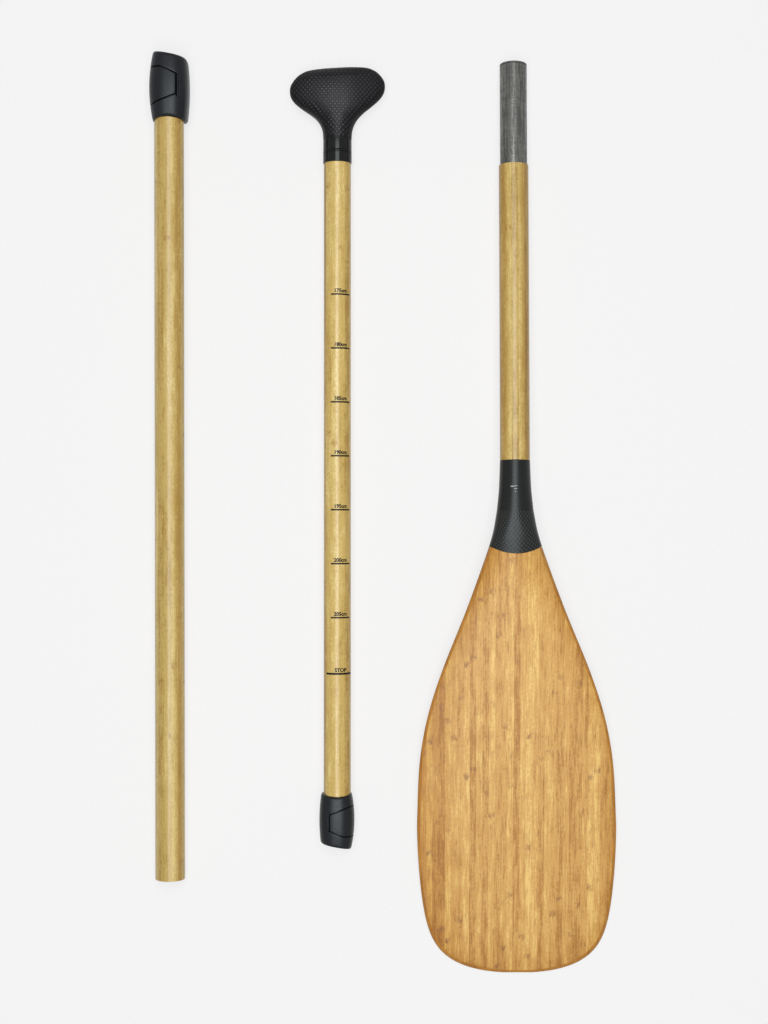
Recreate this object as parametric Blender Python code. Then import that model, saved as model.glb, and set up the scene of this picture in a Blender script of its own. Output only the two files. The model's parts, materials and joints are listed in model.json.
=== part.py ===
"""Stand-up paddleboard paddle, taken apart into its middle, handle and blade sections.

The three sections lie side by side on a flat surface at z = 0, with +Y towards the grip end.
Each section is modelled on its own tube axis, along +Y, and is then laid down on its two
supports. Lengths are in metres.
"""

import math

import bmesh
import bpy
from mathutils import Matrix, Vector

# Tubes
SHAFT_RADIUS = 0.0138
SHAFT_BAMBOO_WALL = 0.0006
LINER_WALL = 0.00035
GLUE_GAP = 0.00005
SLIDING_GAP = 0.00015
HANDLE_BAMBOO_WALL = 0.0006
CORE_WALL = 0.0012
TUBE_SEGMENTS = 40
SHARP_ANGLE = math.radians(32)
PIN_SEGMENTS = 18
BUTT_GAP = 0.0003

# Middle section
MID_EXPOSED_LENGTH = 0.7074
MID_STRIPS = 8

# Handle section
HANDLE_EXPOSED_LENGTH = 0.6000
COLLAR_LENGTH = 0.0115
COLLAR_WALL = 0.00075
END_PLUG_LENGTH = 0.022
GRIP_PLUG_IN_TUBE = 0.055
GRIP_PLUG_IN_GRIP = 0.038
PLUG_GAP = 0.0002

# Grip: each section's height as a share of the grip's, and how far it stands out beyond the neck, as
# shares of the half width and half depth; the crown's sections are shares of the whole of both
GRIP_HEIGHT = 0.0779
GRIP_HALF_WIDTH = 0.0445
GRIP_HALF_DEPTH = 0.0150
GRIP_NECK_RADIUS = 0.0131
GRIP_TILT = 0.052
GRIP_TILT_FROM = 0.20
GRIP_TILT_FULL = 0.48
GRIP_SHARES = (
    (0.00, 0.000, 0.000),
    (0.12, 0.005, 0.000),
    (0.24, 0.025, 0.000),
    (0.33, 0.105, 0.090),
    (0.40, 0.230, 0.230),
    (0.46, 0.395, 0.400),
    (0.53, 0.630, 0.600),
    (0.60, 0.835, 0.800),
    (0.67, 0.960, 0.930),
    (0.74, 1.000, 1.000),
    (0.81, 0.978, 0.980),
    (0.87, 0.890, 0.880),
)
CROWN_SHARES = ((0.92, 0.840, 0.840), (0.955, 0.745, 0.680), (0.98, 0.635, 0.500), (1.0, 0.400, 0.220))
GRIP_NECK_SQUARENESS = 2.0
GRIP_HEAD_SQUARENESS = 2.5
GRIP_SEGMENTS = 32

# Lever clamp on the middle section; the clamp on the handle tube is LOWER_CLAMP_SIZE of it
CLAMP_LENGTH = 0.0595
CLAMP_END_SLOPE = 0.15
CLAMP_LEFT_WALL = 0.0042
CLAMP_RIGHT_WALL = 0.0050
CLAMP_FRONT_WALL = 0.0047
CLAMP_BACK_WALL = 0.0084
CLAMP_LEFT_BARREL = 0.0030
CLAMP_RIGHT_BARREL = 0.0020
CLAMP_FRONT_BARREL = 0.0020
CLAMP_END_ROUNDING = 0.0032
CLAMP_RIM_SHARE = 0.35
CLAMP_FOOT_ARCH = 0.0014
CLAMP_SQUARENESS = 2.5
CLAMP_BACK_SQUARENESS = 3.2
CLAMP_SEGMENTS = 44
CLAMP_ROWS = 6
CLAMP_ROUNDING_STEPS = 3
CLAMP_TUBE_SEAT = 0.0240
LOWER_CLAMP_SIZE = 0.80

# Lever, its pivot and the tension bolt, on the middle section's clamp
LEVER_SEAT_WALL = 0.0007
LEVER_GAP = 0.0003
LEVER_TIP_X = 0.0086
LEVER_POCKET_X = 0.0127
LEVER_TIP_LOW = 0.0217
LEVER_TIP_HIGH = 0.0396
LEVER_ROOT_LOW = 0.0131
LEVER_ROOT_HIGH = 0.0463
LEVER_TAPER_FROM_X = -0.0150
LEVER_TOP_BEND_X = -0.0069
LEVER_TOP_BEND_RADIUS = 0.0020
LEVER_POCKET_DROP = 0.0018
LEVER_COLUMNS = 20
LEVER_ROWS = 5
GROOVE = 0.0006
PIVOT_ANGLE = math.radians(232)
LEVER_ROOT_ANGLE = math.radians(224)
PIVOT_BOSS_RADIUS = 0.0037
PIVOT_PIN_RADIUS = 0.0022
PIVOT_WALL = 0.0019
POCKET_MOUTH = (math.radians(125), math.radians(242))
POCKET_STEPS = 12
LEVER_SWING = math.radians(95)
PIN_GAP = 0.00015
BOLT_RADIUS = 0.0015
BOLT_HEAD_RADIUS = 0.0026
BOLT_HEAD_LENGTH = 0.0022
BOLT_POCKET_WALL = 0.0006
HEX_SOCKET_RADIUS = 0.0012
HEX_SIDES = 6
WASHER_THICKNESS = 0.0007
EAR_THICKNESS = 0.0050
SLIT_HALF_WIDTH = 0.0010
SLIT_START = 0.0120
BUSH_WALL = 0.0011
BUSH_SET_BACK = 0.0021
CUTTER_PROUD = 0.0035

# Blade section
SHAFT_ABOVE_NECK = 0.4190
FERRULE_LENGTH = 0.0960
CAP_THICKNESS = 0.0016
CAP_SPIGOT_LENGTH = 0.0120
WRAP_LENGTH = 0.0466
WRAP_STEP = 0.0240
TANG_LENGTH = 0.0900
SLEEVE_LENGTH = 0.0320
SLEEVE_BOW = 0.0070
SLEEVE_BOW_FADE = 0.100
BLADE_LENGTH = 0.4325
BLADE_HALF_WIDTH = 0.0933
BLADE_WIDEST = 0.2910
BLADE_SIDE_TAPER = 0.18
TIP_SQUARENESS = 8.5
TIP_ROUNDING = 0.425
BLADE_RAKE = math.radians(8)
BLADE_BEND_RADIUS = 0.025
BLADE_LEAN = math.radians(0.6)
EDGE_HALF_THICKNESS = 0.0019
THIN_EDGE_FROM = 0.060
NECK_ROUNDNESS = 2
BLADE_ROUNDNESS = 40
SKIN_THICKNESS = 0.0007
SKIN_GAP = 0.0002
NECK_GAP = 0.0004
EDGE_BAND_WIDTH = 0.0026
TIP_HALF_WIDTH = 0.0015
BLADE_SEGMENTS = 28
BLADE_ROWS = 9
WRAP_ROWS = 3
SLEEVE_ROWS = 5
TIP_ROWS = 10
TIP_CROWDING = 2.2
TIP_LAST_ROW = 0.998

# Half width and half thickness of the neck and blade, at distances below the neck's datum
NECK_TOP_HALF_WIDTH = 0.01385
NECK_WIDTHS = (
    (-0.0480, NECK_TOP_HALF_WIDTH),
    (-0.0340, 0.0143),
    (-0.0200, 0.0150),
    (-0.0060, 0.0164),
    (0.0000, 0.0171),
    (0.0220, 0.0214),
    (0.0505, 0.0308),
    (0.0930, 0.0466),
    (0.1495, 0.0694),
    (0.1920, 0.0829),
    (0.2340, 0.0903),
    (BLADE_WIDEST, BLADE_HALF_WIDTH),
)
HALF_THICKNESSES = (
    (-0.0480, NECK_TOP_HALF_WIDTH),
    (-0.0200, 0.0143),
    (0.0000, 0.0144),
    (0.0220, 0.0130),
    (0.0505, 0.0100),
    (0.0930, 0.0072),
    (0.1495, 0.0054),
    (0.2340, 0.0042),
    (0.3300, 0.0034),
    (BLADE_LENGTH, 0.0026),
)

# Layout, seen from above
MID_TO_HANDLE = 0.1566
HANDLE_TO_BLADE = 0.1646
CLAMP_ABOVE_NECK = 0.3636
GRIP_ABOVE_NECK = 0.3364

BORE_RADIUS = SHAFT_RADIUS - SHAFT_BAMBOO_WALL - GLUE_GAP - LINER_WALL
INNER_RADIUS = BORE_RADIUS - SLIDING_GAP
CORE_BORE = INNER_RADIUS - CORE_WALL
FACE_SHRINK = EDGE_BAND_WIDTH + BUTT_GAP


def clear_scene():
    for old in list(bpy.data.objects):
        bpy.data.objects.remove(old)


def material(name, colour, roughness, metallic=0.0):
    made = bpy.data.materials.new(name)
    made.use_nodes = True
    shader = made.node_tree.nodes["Principled BSDF"]
    shader.inputs["Base Color"].default_value = (*colour, 1.0)
    shader.inputs["Roughness"].default_value = roughness
    shader.inputs["Metallic"].default_value = metallic
    return made


def make_materials():
    return {
        "shaft_bamboo": material("shaft_bamboo", (0.60, 0.43, 0.16), 0.30),
        "blade_bamboo": material("blade_bamboo", (0.56, 0.31, 0.10), 0.30),
        "edge_band": material("edge_band", (0.38, 0.21, 0.07), 0.35),
        "fibre": material("fibre", (0.19, 0.20, 0.19), 0.55),
        "woven_sleeve": material("woven_sleeve", (0.07, 0.08, 0.09), 0.40),
        "gloss_black": material("gloss_black", (0.012, 0.013, 0.015), 0.20),
        "grip_rubber": material("grip_rubber", (0.018, 0.018, 0.020), 0.60),
        "clamp_plastic": material("clamp_plastic", (0.022, 0.025, 0.031), 0.55),
        "plug_plastic": material("plug_plastic", (0.03, 0.03, 0.03), 0.60),
        "core_wood": material("core_wood", (0.55, 0.50, 0.38), 0.80),
        "steel": material("steel", (0.55, 0.55, 0.56), 0.30, 1.0),
    }


def empty(name, parent=None, location=(0, 0, 0), rotation=(0, 0, 0)):
    guide = bpy.data.objects.new(name, None)
    bpy.context.scene.collection.objects.link(guide)
    guide.parent = parent
    guide.location = location
    guide.rotation_euler = rotation
    return guide


def add_object(name, mesh_source, look=None, parent=None):
    bmesh.ops.recalc_face_normals(mesh_source, faces=mesh_source.faces)
    mesh = bpy.data.meshes.new(name)
    mesh_source.to_mesh(mesh)
    mesh_source.free()
    made = bpy.data.objects.new(name, mesh)
    bpy.context.scene.collection.objects.link(made)
    made.parent = parent
    if look:
        mesh.materials.append(look)
    return made


def smooth(made):
    made.data.shade_smooth()
    made.data.set_sharp_from_angle(angle=SHARP_ANGLE)
    return made


def combine(made, tool, operation="DIFFERENCE"):
    """Cuts the tool from the object, or joins it, and removes the tool."""
    boolean = made.modifiers.new(tool.name, "BOOLEAN")
    boolean.operation = operation
    boolean.solver = "EXACT"
    boolean.object = tool
    result = bpy.data.meshes.new_from_object(made.evaluated_get(bpy.context.evaluated_depsgraph_get()))
    made.modifiers.clear()
    made.data = result
    bpy.data.objects.remove(tool)


def loft(rings, ring_of_rings=False):
    """Faces between successive closed rings of points, with flat caps unless the last meets the first."""
    source = bmesh.new()
    rows = [[source.verts.new(point) for point in ring] for ring in rings]
    pairs = list(zip(rows, rows[1:]))
    if ring_of_rings:
        pairs.append((rows[-1], rows[0]))
    for lower, upper in pairs:
        count = len(lower)
        for i in range(count):
            j = (i + 1) % count
            source.faces.new((lower[i], lower[j], upper[j]))
            source.faces.new((lower[i], upper[j], upper[i]))
    if not ring_of_rings:
        source.faces.new(rows[0])
        source.faces.new(rows[-1])
    return source


def slab(front, back, columns, rows):
    """A closed sheet between two surfaces, each a function of column and row."""
    source = bmesh.new()
    sheets = []
    for surface in (front, back):
        sheets.append([[source.verts.new(surface(i, j)) for i in range(columns)] for j in range(rows)])
    for grid in sheets:
        for j in range(rows - 1):
            for i in range(columns - 1):
                source.faces.new((grid[j][i], grid[j][i + 1], grid[j + 1][i + 1]))
                source.faces.new((grid[j][i], grid[j + 1][i + 1], grid[j + 1][i]))
    top, bottom = sheets
    rim = [(0, i) for i in range(columns)] + [(j, columns - 1) for j in range(1, rows)]
    rim += [(rows - 1, i) for i in range(columns - 2, -1, -1)] + [(j, 0) for j in range(rows - 2, 0, -1)]
    for (j, i), (n, m) in zip(rim, rim[1:] + rim[:1]):
        source.faces.new((top[j][i], top[n][m], bottom[n][m], bottom[j][i]))
    return source


def circle(radius, y, segments=TUBE_SEGMENTS):
    turns = (2 * math.pi * i / segments for i in range(segments))
    return [Vector((radius * math.cos(a), y, radius * math.sin(a))) for a in turns]


def tube(outer, inner, low, high):
    return loft([circle(outer, low), circle(outer, high), circle(inner, high), circle(inner, low)], True)


def tube_strip(number, count, outer, inner, low, high):
    """One of the strips that a tube's wall is glued up from; the first one's edge lies towards +X."""
    half = math.pi / count - GLUE_GAP / outer
    centre = 2 * math.pi * (number + 0.5) / count
    arc = steps(centre - half, centre + half, TUBE_SEGMENTS // count)
    around = [outer * direction(a) for a in arc] + [inner * direction(a) for a in reversed(arc)]
    return loft([[point + Vector((0, y, 0)) for point in around] for y in (low, high)])


def rod(stations, segments=TUBE_SEGMENTS):
    """A turned solid from (y, radius) stations along the axis."""
    return loft([circle(radius, y, segments) for y, radius in stations])


def rod_along(start, end, radius, segments=PIN_SEGMENTS):
    """A cylinder between two points."""
    along = end - start
    turn = Vector((0, 1, 0)).rotation_difference(along.normalized()).to_matrix().to_4x4()
    source = rod([(0, radius), (along.length, radius)], segments)
    bmesh.ops.transform(source, matrix=Matrix.Translation(start) @ turn, verts=source.verts)
    return source


def prism(corners, low, high):
    """A solid with corners in the XZ plane, from low to high along Y."""
    return loft([[Vector((x, y, z)) for x, z in corners] for y in (low, high)])


def direction(angle):
    """A unit vector in the XZ plane, turned from +X towards +Z."""
    return Vector((math.cos(angle), 0, math.sin(angle)))


def steps(start, end, count):
    return [start + (end - start) * i / count for i in range(count + 1)]


def smooth_step(value):
    share = min(max(value, 0.0), 1.0)
    return share * share * (3 - 2 * share)


def through(stations, at):
    """Reads a smooth curve through (place, value) stations."""
    if at <= stations[0][0]:
        return stations[0][1]
    if at >= stations[-1][0]:
        return stations[-1][1]
    slopes = []
    for i in range(len(stations)):
        before, after = stations[max(i - 1, 0)], stations[min(i + 1, len(stations) - 1)]
        slopes.append((after[1] - before[1]) / (after[0] - before[0]))
    for (x0, v0), (x1, v1), m0, m1 in zip(stations, stations[1:], slopes, slopes[1:]):
        if at <= x1:
            span = x1 - x0
            t = (at - x0) / span
            rise = (2 * t**3 - 3 * t**2 + 1) * v0 + (3 * t**2 - 2 * t**3) * v1
            return rise + span * ((t**3 - 2 * t**2 + t) * m0 + (t**3 - t**2) * m1)


def squared_oval(step, half_width, half_depth, squareness):
    """A point of a rounded oval; the step runs from 0 to 2 pi, evenly along the oval."""
    c, s = math.cos(step), math.sin(step)
    power = 2 / squareness
    x = half_width * math.copysign(abs(c) ** power, c)
    z = half_depth * math.copysign(abs(s) ** power, s)
    return x, z


def reach_towards(angle, right, left, front, back, squareness, back_squareness):
    """How far a rounded section reaches in a direction, where its sides' reaches differ."""
    c, s = math.cos(angle), math.sin(angle)
    power = squareness if s >= 0 else back_squareness
    across = abs(c) / (right if c >= 0 else left)
    up = abs(s) / (front if s >= 0 else back)
    return (across**power + up**power) ** (-1 / power)


class ClampSizes:
    """Sizes of a lever clamp for one tube, in the clamp's own frame: +Y from the tube to its free end."""

    def __init__(self, tube_radius, size):
        self.size = size
        self.tube_radius = tube_radius
        self.bore = tube_radius + SLIDING_GAP
        self.length = CLAMP_LENGTH * size
        self.seat = CLAMP_TUBE_SEAT * size
        self.boss = PIVOT_BOSS_RADIUS * size
        pivot_reach = self.bore + (LEVER_SEAT_WALL + PIVOT_WALL) * size + self.boss
        bolt_reach = self.bore + (BOLT_POCKET_WALL + BOLT_HEAD_RADIUS) * size + LEVER_GAP
        self.pivot = pivot_reach * direction(PIVOT_ANGLE)
        self.bolt_angle = PIVOT_ANGLE + math.acos(bolt_reach / pivot_reach)
        self.bolt_foot = bolt_reach * direction(self.bolt_angle)
        self.bolt_way = direction(self.bolt_angle + math.pi / 2)
        self.bolt_y = (LEVER_ROOT_LOW + LEVER_ROOT_HIGH) / 2 * size

    def end(self, x):
        """Height of the sloping free end above a place across the clamp."""
        return self.length - CLAMP_END_SLOPE * x

    def foot(self, angle):
        """Height of the lower rim, which arches over the tube at the front and the back."""
        return -CLAMP_FOOT_ARCH * self.size * math.cos(2 * angle)

    def surface(self, angle, y, proud=0.0, kept=1.0):
        """A point of the outer skin, standing proud of it or keeping only a share of its walls."""
        middle = (y - self.length / 2) / (self.length / 2)
        right = CLAMP_RIGHT_WALL - CLAMP_RIGHT_BARREL * middle**2
        left = CLAMP_LEFT_WALL - CLAMP_LEFT_BARREL * middle**2
        front = CLAMP_FRONT_WALL - CLAMP_FRONT_BARREL * middle**2
        walls = (right, left, front, CLAMP_BACK_WALL)
        reaches = [self.tube_radius + wall * self.size * kept + proud for wall in walls]
        reach = reach_towards(angle, *reaches, CLAMP_SQUARENESS, CLAMP_BACK_SQUARENESS)
        return Vector((0, y, 0)) + direction(angle) * reach

    def lever_edges(self, x):
        """Heights of the lever's lower and upper edges at a place across the clamp, or of its pocket's."""
        k = self.size
        taper_from, tip = LEVER_TAPER_FROM_X * k, LEVER_TIP_X * k
        share = min(max((x - taper_from) / (tip - taper_from), 0.0), 1.0)
        bottom = (LEVER_ROOT_LOW + (LEVER_TIP_LOW - LEVER_ROOT_LOW) * share) * k
        if x > tip:
            bottom -= LEVER_POCKET_DROP * k
        slope = (LEVER_ROOT_HIGH - LEVER_TIP_HIGH) / (LEVER_TIP_X - LEVER_TOP_BEND_X)
        past = x - LEVER_TOP_BEND_X * k
        bent = (past + math.hypot(past, LEVER_TOP_BEND_RADIUS * k)) / 2
        return bottom, LEVER_ROOT_HIGH * k - slope * bent


def clamp_rings(sizes):
    """Rings of the clamp's outer skin, with rounded ends, the free one sloping."""
    rounding = []
    for a in steps(0, math.pi / 2, CLAMP_ROUNDING_STEPS):
        kept = CLAMP_RIM_SHARE + (1 - CLAMP_RIM_SHARE) * math.sin(a)
        rounding.append((kept, CLAMP_END_ROUNDING * sizes.size * (1 - math.cos(a))))
    places = [(0.0, kept, lift) for kept, lift in rounding]
    places += [(share, 1.0, 0.0) for share in steps(0, 1, CLAMP_ROWS)[1:-1]]
    places += [(1.0, kept, -lift) for kept, lift in reversed(rounding)]
    rings = []
    for share, kept, lift in places:
        ring = []
        for i in range(CLAMP_SEGMENTS):
            angle = 2 * math.pi * i / CLAMP_SEGMENTS
            x = sizes.surface(angle, sizes.length / 2).x
            y = (1 - share) * sizes.foot(angle) + share * sizes.end(x) + lift
            ring.append(sizes.surface(angle, y, 0.0, kept))
        rings.append(ring)
    return rings


def lever_grid(sizes, tip_x, root_angle, grow, proud, inner_radius):
    """The lever's plate from its tip to its root, or the recess for it when grown."""
    columns, rows = LEVER_COLUMNS, LEVER_ROWS
    reach = sizes.surface(math.pi / 2, sizes.length / 2).z
    tip_angle = math.atan2(reach, tip_x * sizes.size)

    def place(i, j):
        angle = tip_angle + (root_angle - tip_angle) * i / (columns - 1)
        x = sizes.surface(angle, sizes.length / 2).x
        bottom, top = sizes.lever_edges(x)
        return angle, bottom - grow + (top - bottom + 2 * grow) * j / (rows - 1)

    def front(i, j):
        return sizes.surface(*place(i, j), proud)

    def back(i, j):
        angle, y = place(i, j)
        return Vector((0, y, 0)) + direction(angle) * inner_radius

    return slab(front, back, columns, rows)


def pivot_pocket(sizes):
    """Outline of the pocket round the pivot boss, open to the back left for the lever to swing into."""
    reach = sizes.boss + LEVER_GAP
    start, end = POCKET_MOUTH
    arc = steps(end, start + 2 * math.pi, POCKET_STEPS)
    corners = [sizes.pivot + direction(angle) * reach for angle in arc]
    corners += [sizes.pivot + direction(angle) * sizes.length for angle in steps(start, end, 2)]
    return [(corner.x, corner.z) for corner in corners]


def make_clamp(prefix, sizes, holder, looks):
    """Clamp body, bush, lever, pivot pin, tension bolt and washer."""
    k = sizes.size
    gap = LEVER_GAP
    recess_radius = sizes.bore + LEVER_SEAT_WALL * k
    root_low, root_high = LEVER_ROOT_LOW * k, LEVER_ROOT_HIGH * k
    pivot = sizes.pivot
    bolt_line = sizes.bolt_foot + Vector((0, sizes.bolt_y, 0))
    pivot_line = pivot + Vector((0, sizes.bolt_y, 0))
    far = sizes.length
    slit_way = direction(sizes.bolt_angle)
    half_slit = sizes.bolt_way * SLIT_HALF_WIDTH * k
    slit_foot = slit_way * (sizes.bore - 2 * BUSH_WALL * k)
    slit_corners = [
        slit_foot - half_slit,
        slit_way * far - half_slit,
        slit_way * far + half_slit,
        slit_foot + half_slit,
    ]
    slit_corners = [(corner.x, corner.z) for corner in slit_corners]
    ear_face = bolt_line + sizes.bolt_way * EAR_THICKNESS * k

    body = add_object(f"{prefix}_body", loft(clamp_rings(sizes)), looks["clamp_plastic"], holder)
    pocket_low, pocket_high = root_low - (GROOVE + BUTT_GAP) * k, root_high + (GROOVE + BUTT_GAP) * k
    cutters = [
        rod([(-far, sizes.bore), (2 * far, sizes.bore)]),
        prism(slit_corners, SLIT_START * k, 2 * far),
        lever_grid(sizes, LEVER_POCKET_X, PIVOT_ANGLE, GROOVE * k, CUTTER_PROUD, recess_radius),
        prism(pivot_pocket(sizes), pocket_low, pocket_high),
        rod_along(pivot_line, bolt_line + sizes.bolt_way * far, BOLT_RADIUS * k + gap),
        rod_along(ear_face, ear_face + sizes.bolt_way * far, BOLT_HEAD_RADIUS * k + gap),
    ]
    for number, cutter in enumerate(cutters):
        combine(body, add_object(f"{prefix}_cutter_{number}", cutter, None, holder))
    smooth(body)

    bush_end = sizes.end(sizes.bore) - BUSH_SET_BACK * k
    bush_radii = (sizes.bore - SLIDING_GAP, sizes.bore - BUSH_WALL * k)
    bush = tube(*bush_radii, sizes.seat + BUTT_GAP, bush_end)
    bush = add_object(f"{prefix}_bush", bush, looks["plug_plastic"], holder)
    combine(bush, add_object(f"{prefix}_bush_slit", prism(slit_corners, 0, 2 * far), None, holder))
    smooth(bush)

    plate = lever_grid(sizes, LEVER_TIP_X, LEVER_ROOT_ANGLE, 0.0, 0.0, recess_radius + gap)
    lever = add_object(f"{prefix}_lever", plate, looks["clamp_plastic"], holder)
    boss_ends = [pivot + Vector((0, y, 0)) for y in (root_low, root_high)]
    combine(lever, add_object(f"{prefix}_boss", rod_along(*boss_ends, sizes.boss), None, holder), "UNION")
    pin_bore = [pivot + Vector((0, y, 0)) for y in (-far, 2 * far)]
    pin_radius = PIVOT_PIN_RADIUS * k
    combine(lever, add_object(f"{prefix}_pin_bore", rod_along(*pin_bore, pin_radius + PIN_GAP), None, holder))
    lever_open = sizes.bolt_angle + math.pi / 2 - LEVER_SWING / 2
    away, aside = direction(lever_open) * far, direction(lever_open + math.pi / 2) * far
    slot = [pivot - aside, pivot - aside + away, pivot + aside + away, pivot + aside]
    slot_half = BOLT_RADIUS * k + 2 * gap
    slot = prism([(p.x, p.z) for p in slot], sizes.bolt_y - slot_half, sizes.bolt_y + slot_half)
    combine(lever, add_object(f"{prefix}_bolt_slot", slot, None, holder))
    lever.data.transform(Matrix.Translation(-pivot))
    lever.location = pivot
    smooth(lever)

    pin_ends = [pivot + Vector((0, y, 0)) for y in (root_low + BUTT_GAP, root_high - BUTT_GAP)]
    pin = add_object(f"{prefix}_pivot_pin", rod_along(*pin_ends, pin_radius), looks["steel"], holder)
    cross = [pivot_line - sizes.bolt_way * far, pivot_line + sizes.bolt_way * far]
    bolt_bore = BOLT_RADIUS * k + PIN_GAP
    combine(pin, add_object(f"{prefix}_cross_bore", rod_along(*cross, bolt_bore), None, holder))
    smooth(pin)

    washer_start = ear_face + sizes.bolt_way * gap
    washer_end = washer_start + sizes.bolt_way * WASHER_THICKNESS * k
    washer = rod_along(washer_start, washer_end, BOLT_HEAD_RADIUS * k)
    washer = add_object(f"{prefix}_washer", washer, looks["steel"], holder)
    shank = [pivot_line - sizes.bolt_way * pin_radius / 2, washer_end + sizes.bolt_way * gap]
    around = [pivot_line, shank[1] + sizes.bolt_way * gap]
    combine(washer, add_object(f"{prefix}_washer_bore", rod_along(*around, bolt_bore), None, holder))
    smooth(washer)

    head_end = shank[1] + sizes.bolt_way * BOLT_HEAD_LENGTH * k
    shank_end = shank[1] + sizes.bolt_way * BOLT_HEAD_LENGTH * k / 2
    bolt = rod_along(shank[1], head_end, BOLT_HEAD_RADIUS * k)
    bolt = add_object(f"{prefix}_bolt", bolt, looks["steel"], holder)
    stem = rod_along(shank[0], shank_end, BOLT_RADIUS * k)
    combine(bolt, add_object(f"{prefix}_stem", stem, None, holder), "UNION")
    socket = rod_along(shank_end, head_end + sizes.bolt_way * gap, HEX_SOCKET_RADIUS * k, HEX_SIDES)
    combine(bolt, add_object(f"{prefix}_hex_socket", socket, None, holder))
    smooth(bolt)


def lying_tilt(low_points):
    """Turn about X that brings a section's upper and lower support, as (y, z), to one height."""
    (y1, z1), (y2, z2) = low_points
    return math.atan2(z2 - z1, y1 - y2)


def lay_down(name, low_points, x, y):
    """An empty that lays a section on its two lowest points."""
    tilt = lying_tilt(low_points)
    y1, z1 = low_points[0]
    lift = -(y1 * math.sin(tilt) + z1 * math.cos(tilt))
    return empty(name, None, (x, y, lift), (tilt, 0, 0))


def make_mid_section(x, clamp_y, looks):
    """Origin where the tube enters the clamp."""
    sizes = ClampSizes(SHAFT_RADIUS, 1.0)
    clamp_foot = (CLAMP_FOOT_ARCH + CLAMP_END_ROUNDING, -(SHAFT_RADIUS + CLAMP_BACK_WALL))
    section = lay_down("mid_section", (clamp_foot, (-MID_EXPOSED_LENGTH, -SHAFT_RADIUS)), x, clamp_y)
    bamboo_inner = SHAFT_RADIUS - SHAFT_BAMBOO_WALL
    ends = (-MID_EXPOSED_LENGTH, sizes.seat)
    for number in range(MID_STRIPS):
        strip = tube_strip(number, MID_STRIPS, SHAFT_RADIUS, bamboo_inner, *ends)
        smooth(add_object(f"mid_shaft_strip_{number + 1}", strip, looks["shaft_bamboo"], section))
    liner = tube(bamboo_inner - GLUE_GAP, BORE_RADIUS, *ends)
    smooth(add_object("mid_shaft_liner", liner, looks["fibre"], section))
    make_clamp("mid_clamp", sizes, section, looks)


def grip_rings():
    """Closed sections from the grip's base to its crown."""
    stations = GRIP_SHARES + CROWN_SHARES
    rings = []
    for number, (height, width_share, depth_share) in enumerate(stations):
        crown = number >= len(GRIP_SHARES)
        base = 0.0 if crown else GRIP_NECK_RADIUS
        half_width = base + (GRIP_HALF_WIDTH - base) * width_share
        half_depth = base + (GRIP_HALF_DEPTH - base) * depth_share
        blend = smooth_step(height)
        squareness = GRIP_NECK_SQUARENESS + (GRIP_HEAD_SQUARENESS - GRIP_NECK_SQUARENESS) * blend
        tilt = GRIP_TILT * smooth_step((height - GRIP_TILT_FROM) / (GRIP_TILT_FULL - GRIP_TILT_FROM))
        ring = []
        for i in range(GRIP_SEGMENTS):
            angle = 2 * math.pi * i / GRIP_SEGMENTS
            px, pz = squared_oval(angle, half_width, half_depth, squareness)
            ring.append(Vector((px, height * GRIP_HEIGHT + tilt * px, pz)))
        rings.append(ring)
    return rings


def make_handle_section(x, grip_y, looks):
    """Origin at the grip's base."""
    sizes = ClampSizes(INNER_RADIUS, LOWER_CLAMP_SIZE)
    clamp_back = -(INNER_RADIUS + CLAMP_BACK_WALL * LOWER_CLAMP_SIZE)
    foot_height = (CLAMP_FOOT_ARCH + CLAMP_END_ROUNDING) * LOWER_CLAMP_SIZE
    clamp_foot = (-HANDLE_EXPOSED_LENGTH - foot_height, clamp_back)
    widest = max(GRIP_SHARES, key=lambda section: section[2])[0] * GRIP_HEIGHT
    section = lay_down("handle_section", ((widest, -GRIP_HALF_DEPTH), clamp_foot), x, grip_y)
    bamboo_inner = INNER_RADIUS - HANDLE_BAMBOO_WALL
    liner_outer = bamboo_inner - GLUE_GAP
    ends = (-HANDLE_EXPOSED_LENGTH - sizes.seat, -BUTT_GAP)
    bamboo = tube(INNER_RADIUS, bamboo_inner, *ends)
    smooth(add_object("handle_shaft_bamboo", bamboo, looks["shaft_bamboo"], section))
    smooth(add_object("handle_shaft_liner", tube(liner_outer, CORE_BORE, *ends), looks["fibre"], section))

    plug_radius = CORE_BORE - PLUG_GAP
    grip = add_object("handle_grip", loft(grip_rings()), looks["grip_rubber"], section)
    socket = rod([(-GRIP_PLUG_IN_GRIP, CORE_BORE), (GRIP_PLUG_IN_GRIP + BUTT_GAP, CORE_BORE)])
    combine(grip, add_object("grip_socket", socket, None, section))
    smooth(grip)
    plug = rod([(-GRIP_PLUG_IN_TUBE, plug_radius), (GRIP_PLUG_IN_GRIP, plug_radius)])
    smooth(add_object("handle_grip_plug", plug, looks["plug_plastic"], section))
    collar_inner = INNER_RADIUS + GLUE_GAP
    collar = tube(INNER_RADIUS + COLLAR_WALL, collar_inner, -COLLAR_LENGTH, -BUTT_GAP)
    smooth(add_object("handle_grip_collar", collar, looks["gloss_black"], section))
    end_plug = rod([(ends[0], plug_radius), (ends[0] + END_PLUG_LENGTH, plug_radius)])
    smooth(add_object("handle_end_plug", end_plug, looks["plug_plastic"], section))

    clamp_at = empty("lower_clamp", section, (0, -HANDLE_EXPOSED_LENGTH, 0), (0, 0, math.pi))
    make_clamp("lower_clamp", sizes, clamp_at, looks)


def half_width(below):
    """Half width of the neck or blade at a distance below the neck's datum."""
    if below <= BLADE_WIDEST:
        return through(NECK_WIDTHS, below)
    share = min((below - BLADE_WIDEST) / (BLADE_LENGTH - BLADE_WIDEST), 1.0)
    sides = 1 - BLADE_SIDE_TAPER * share**2
    return BLADE_HALF_WIDTH * sides * (1 - share**TIP_SQUARENESS) ** TIP_ROUNDING


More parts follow.
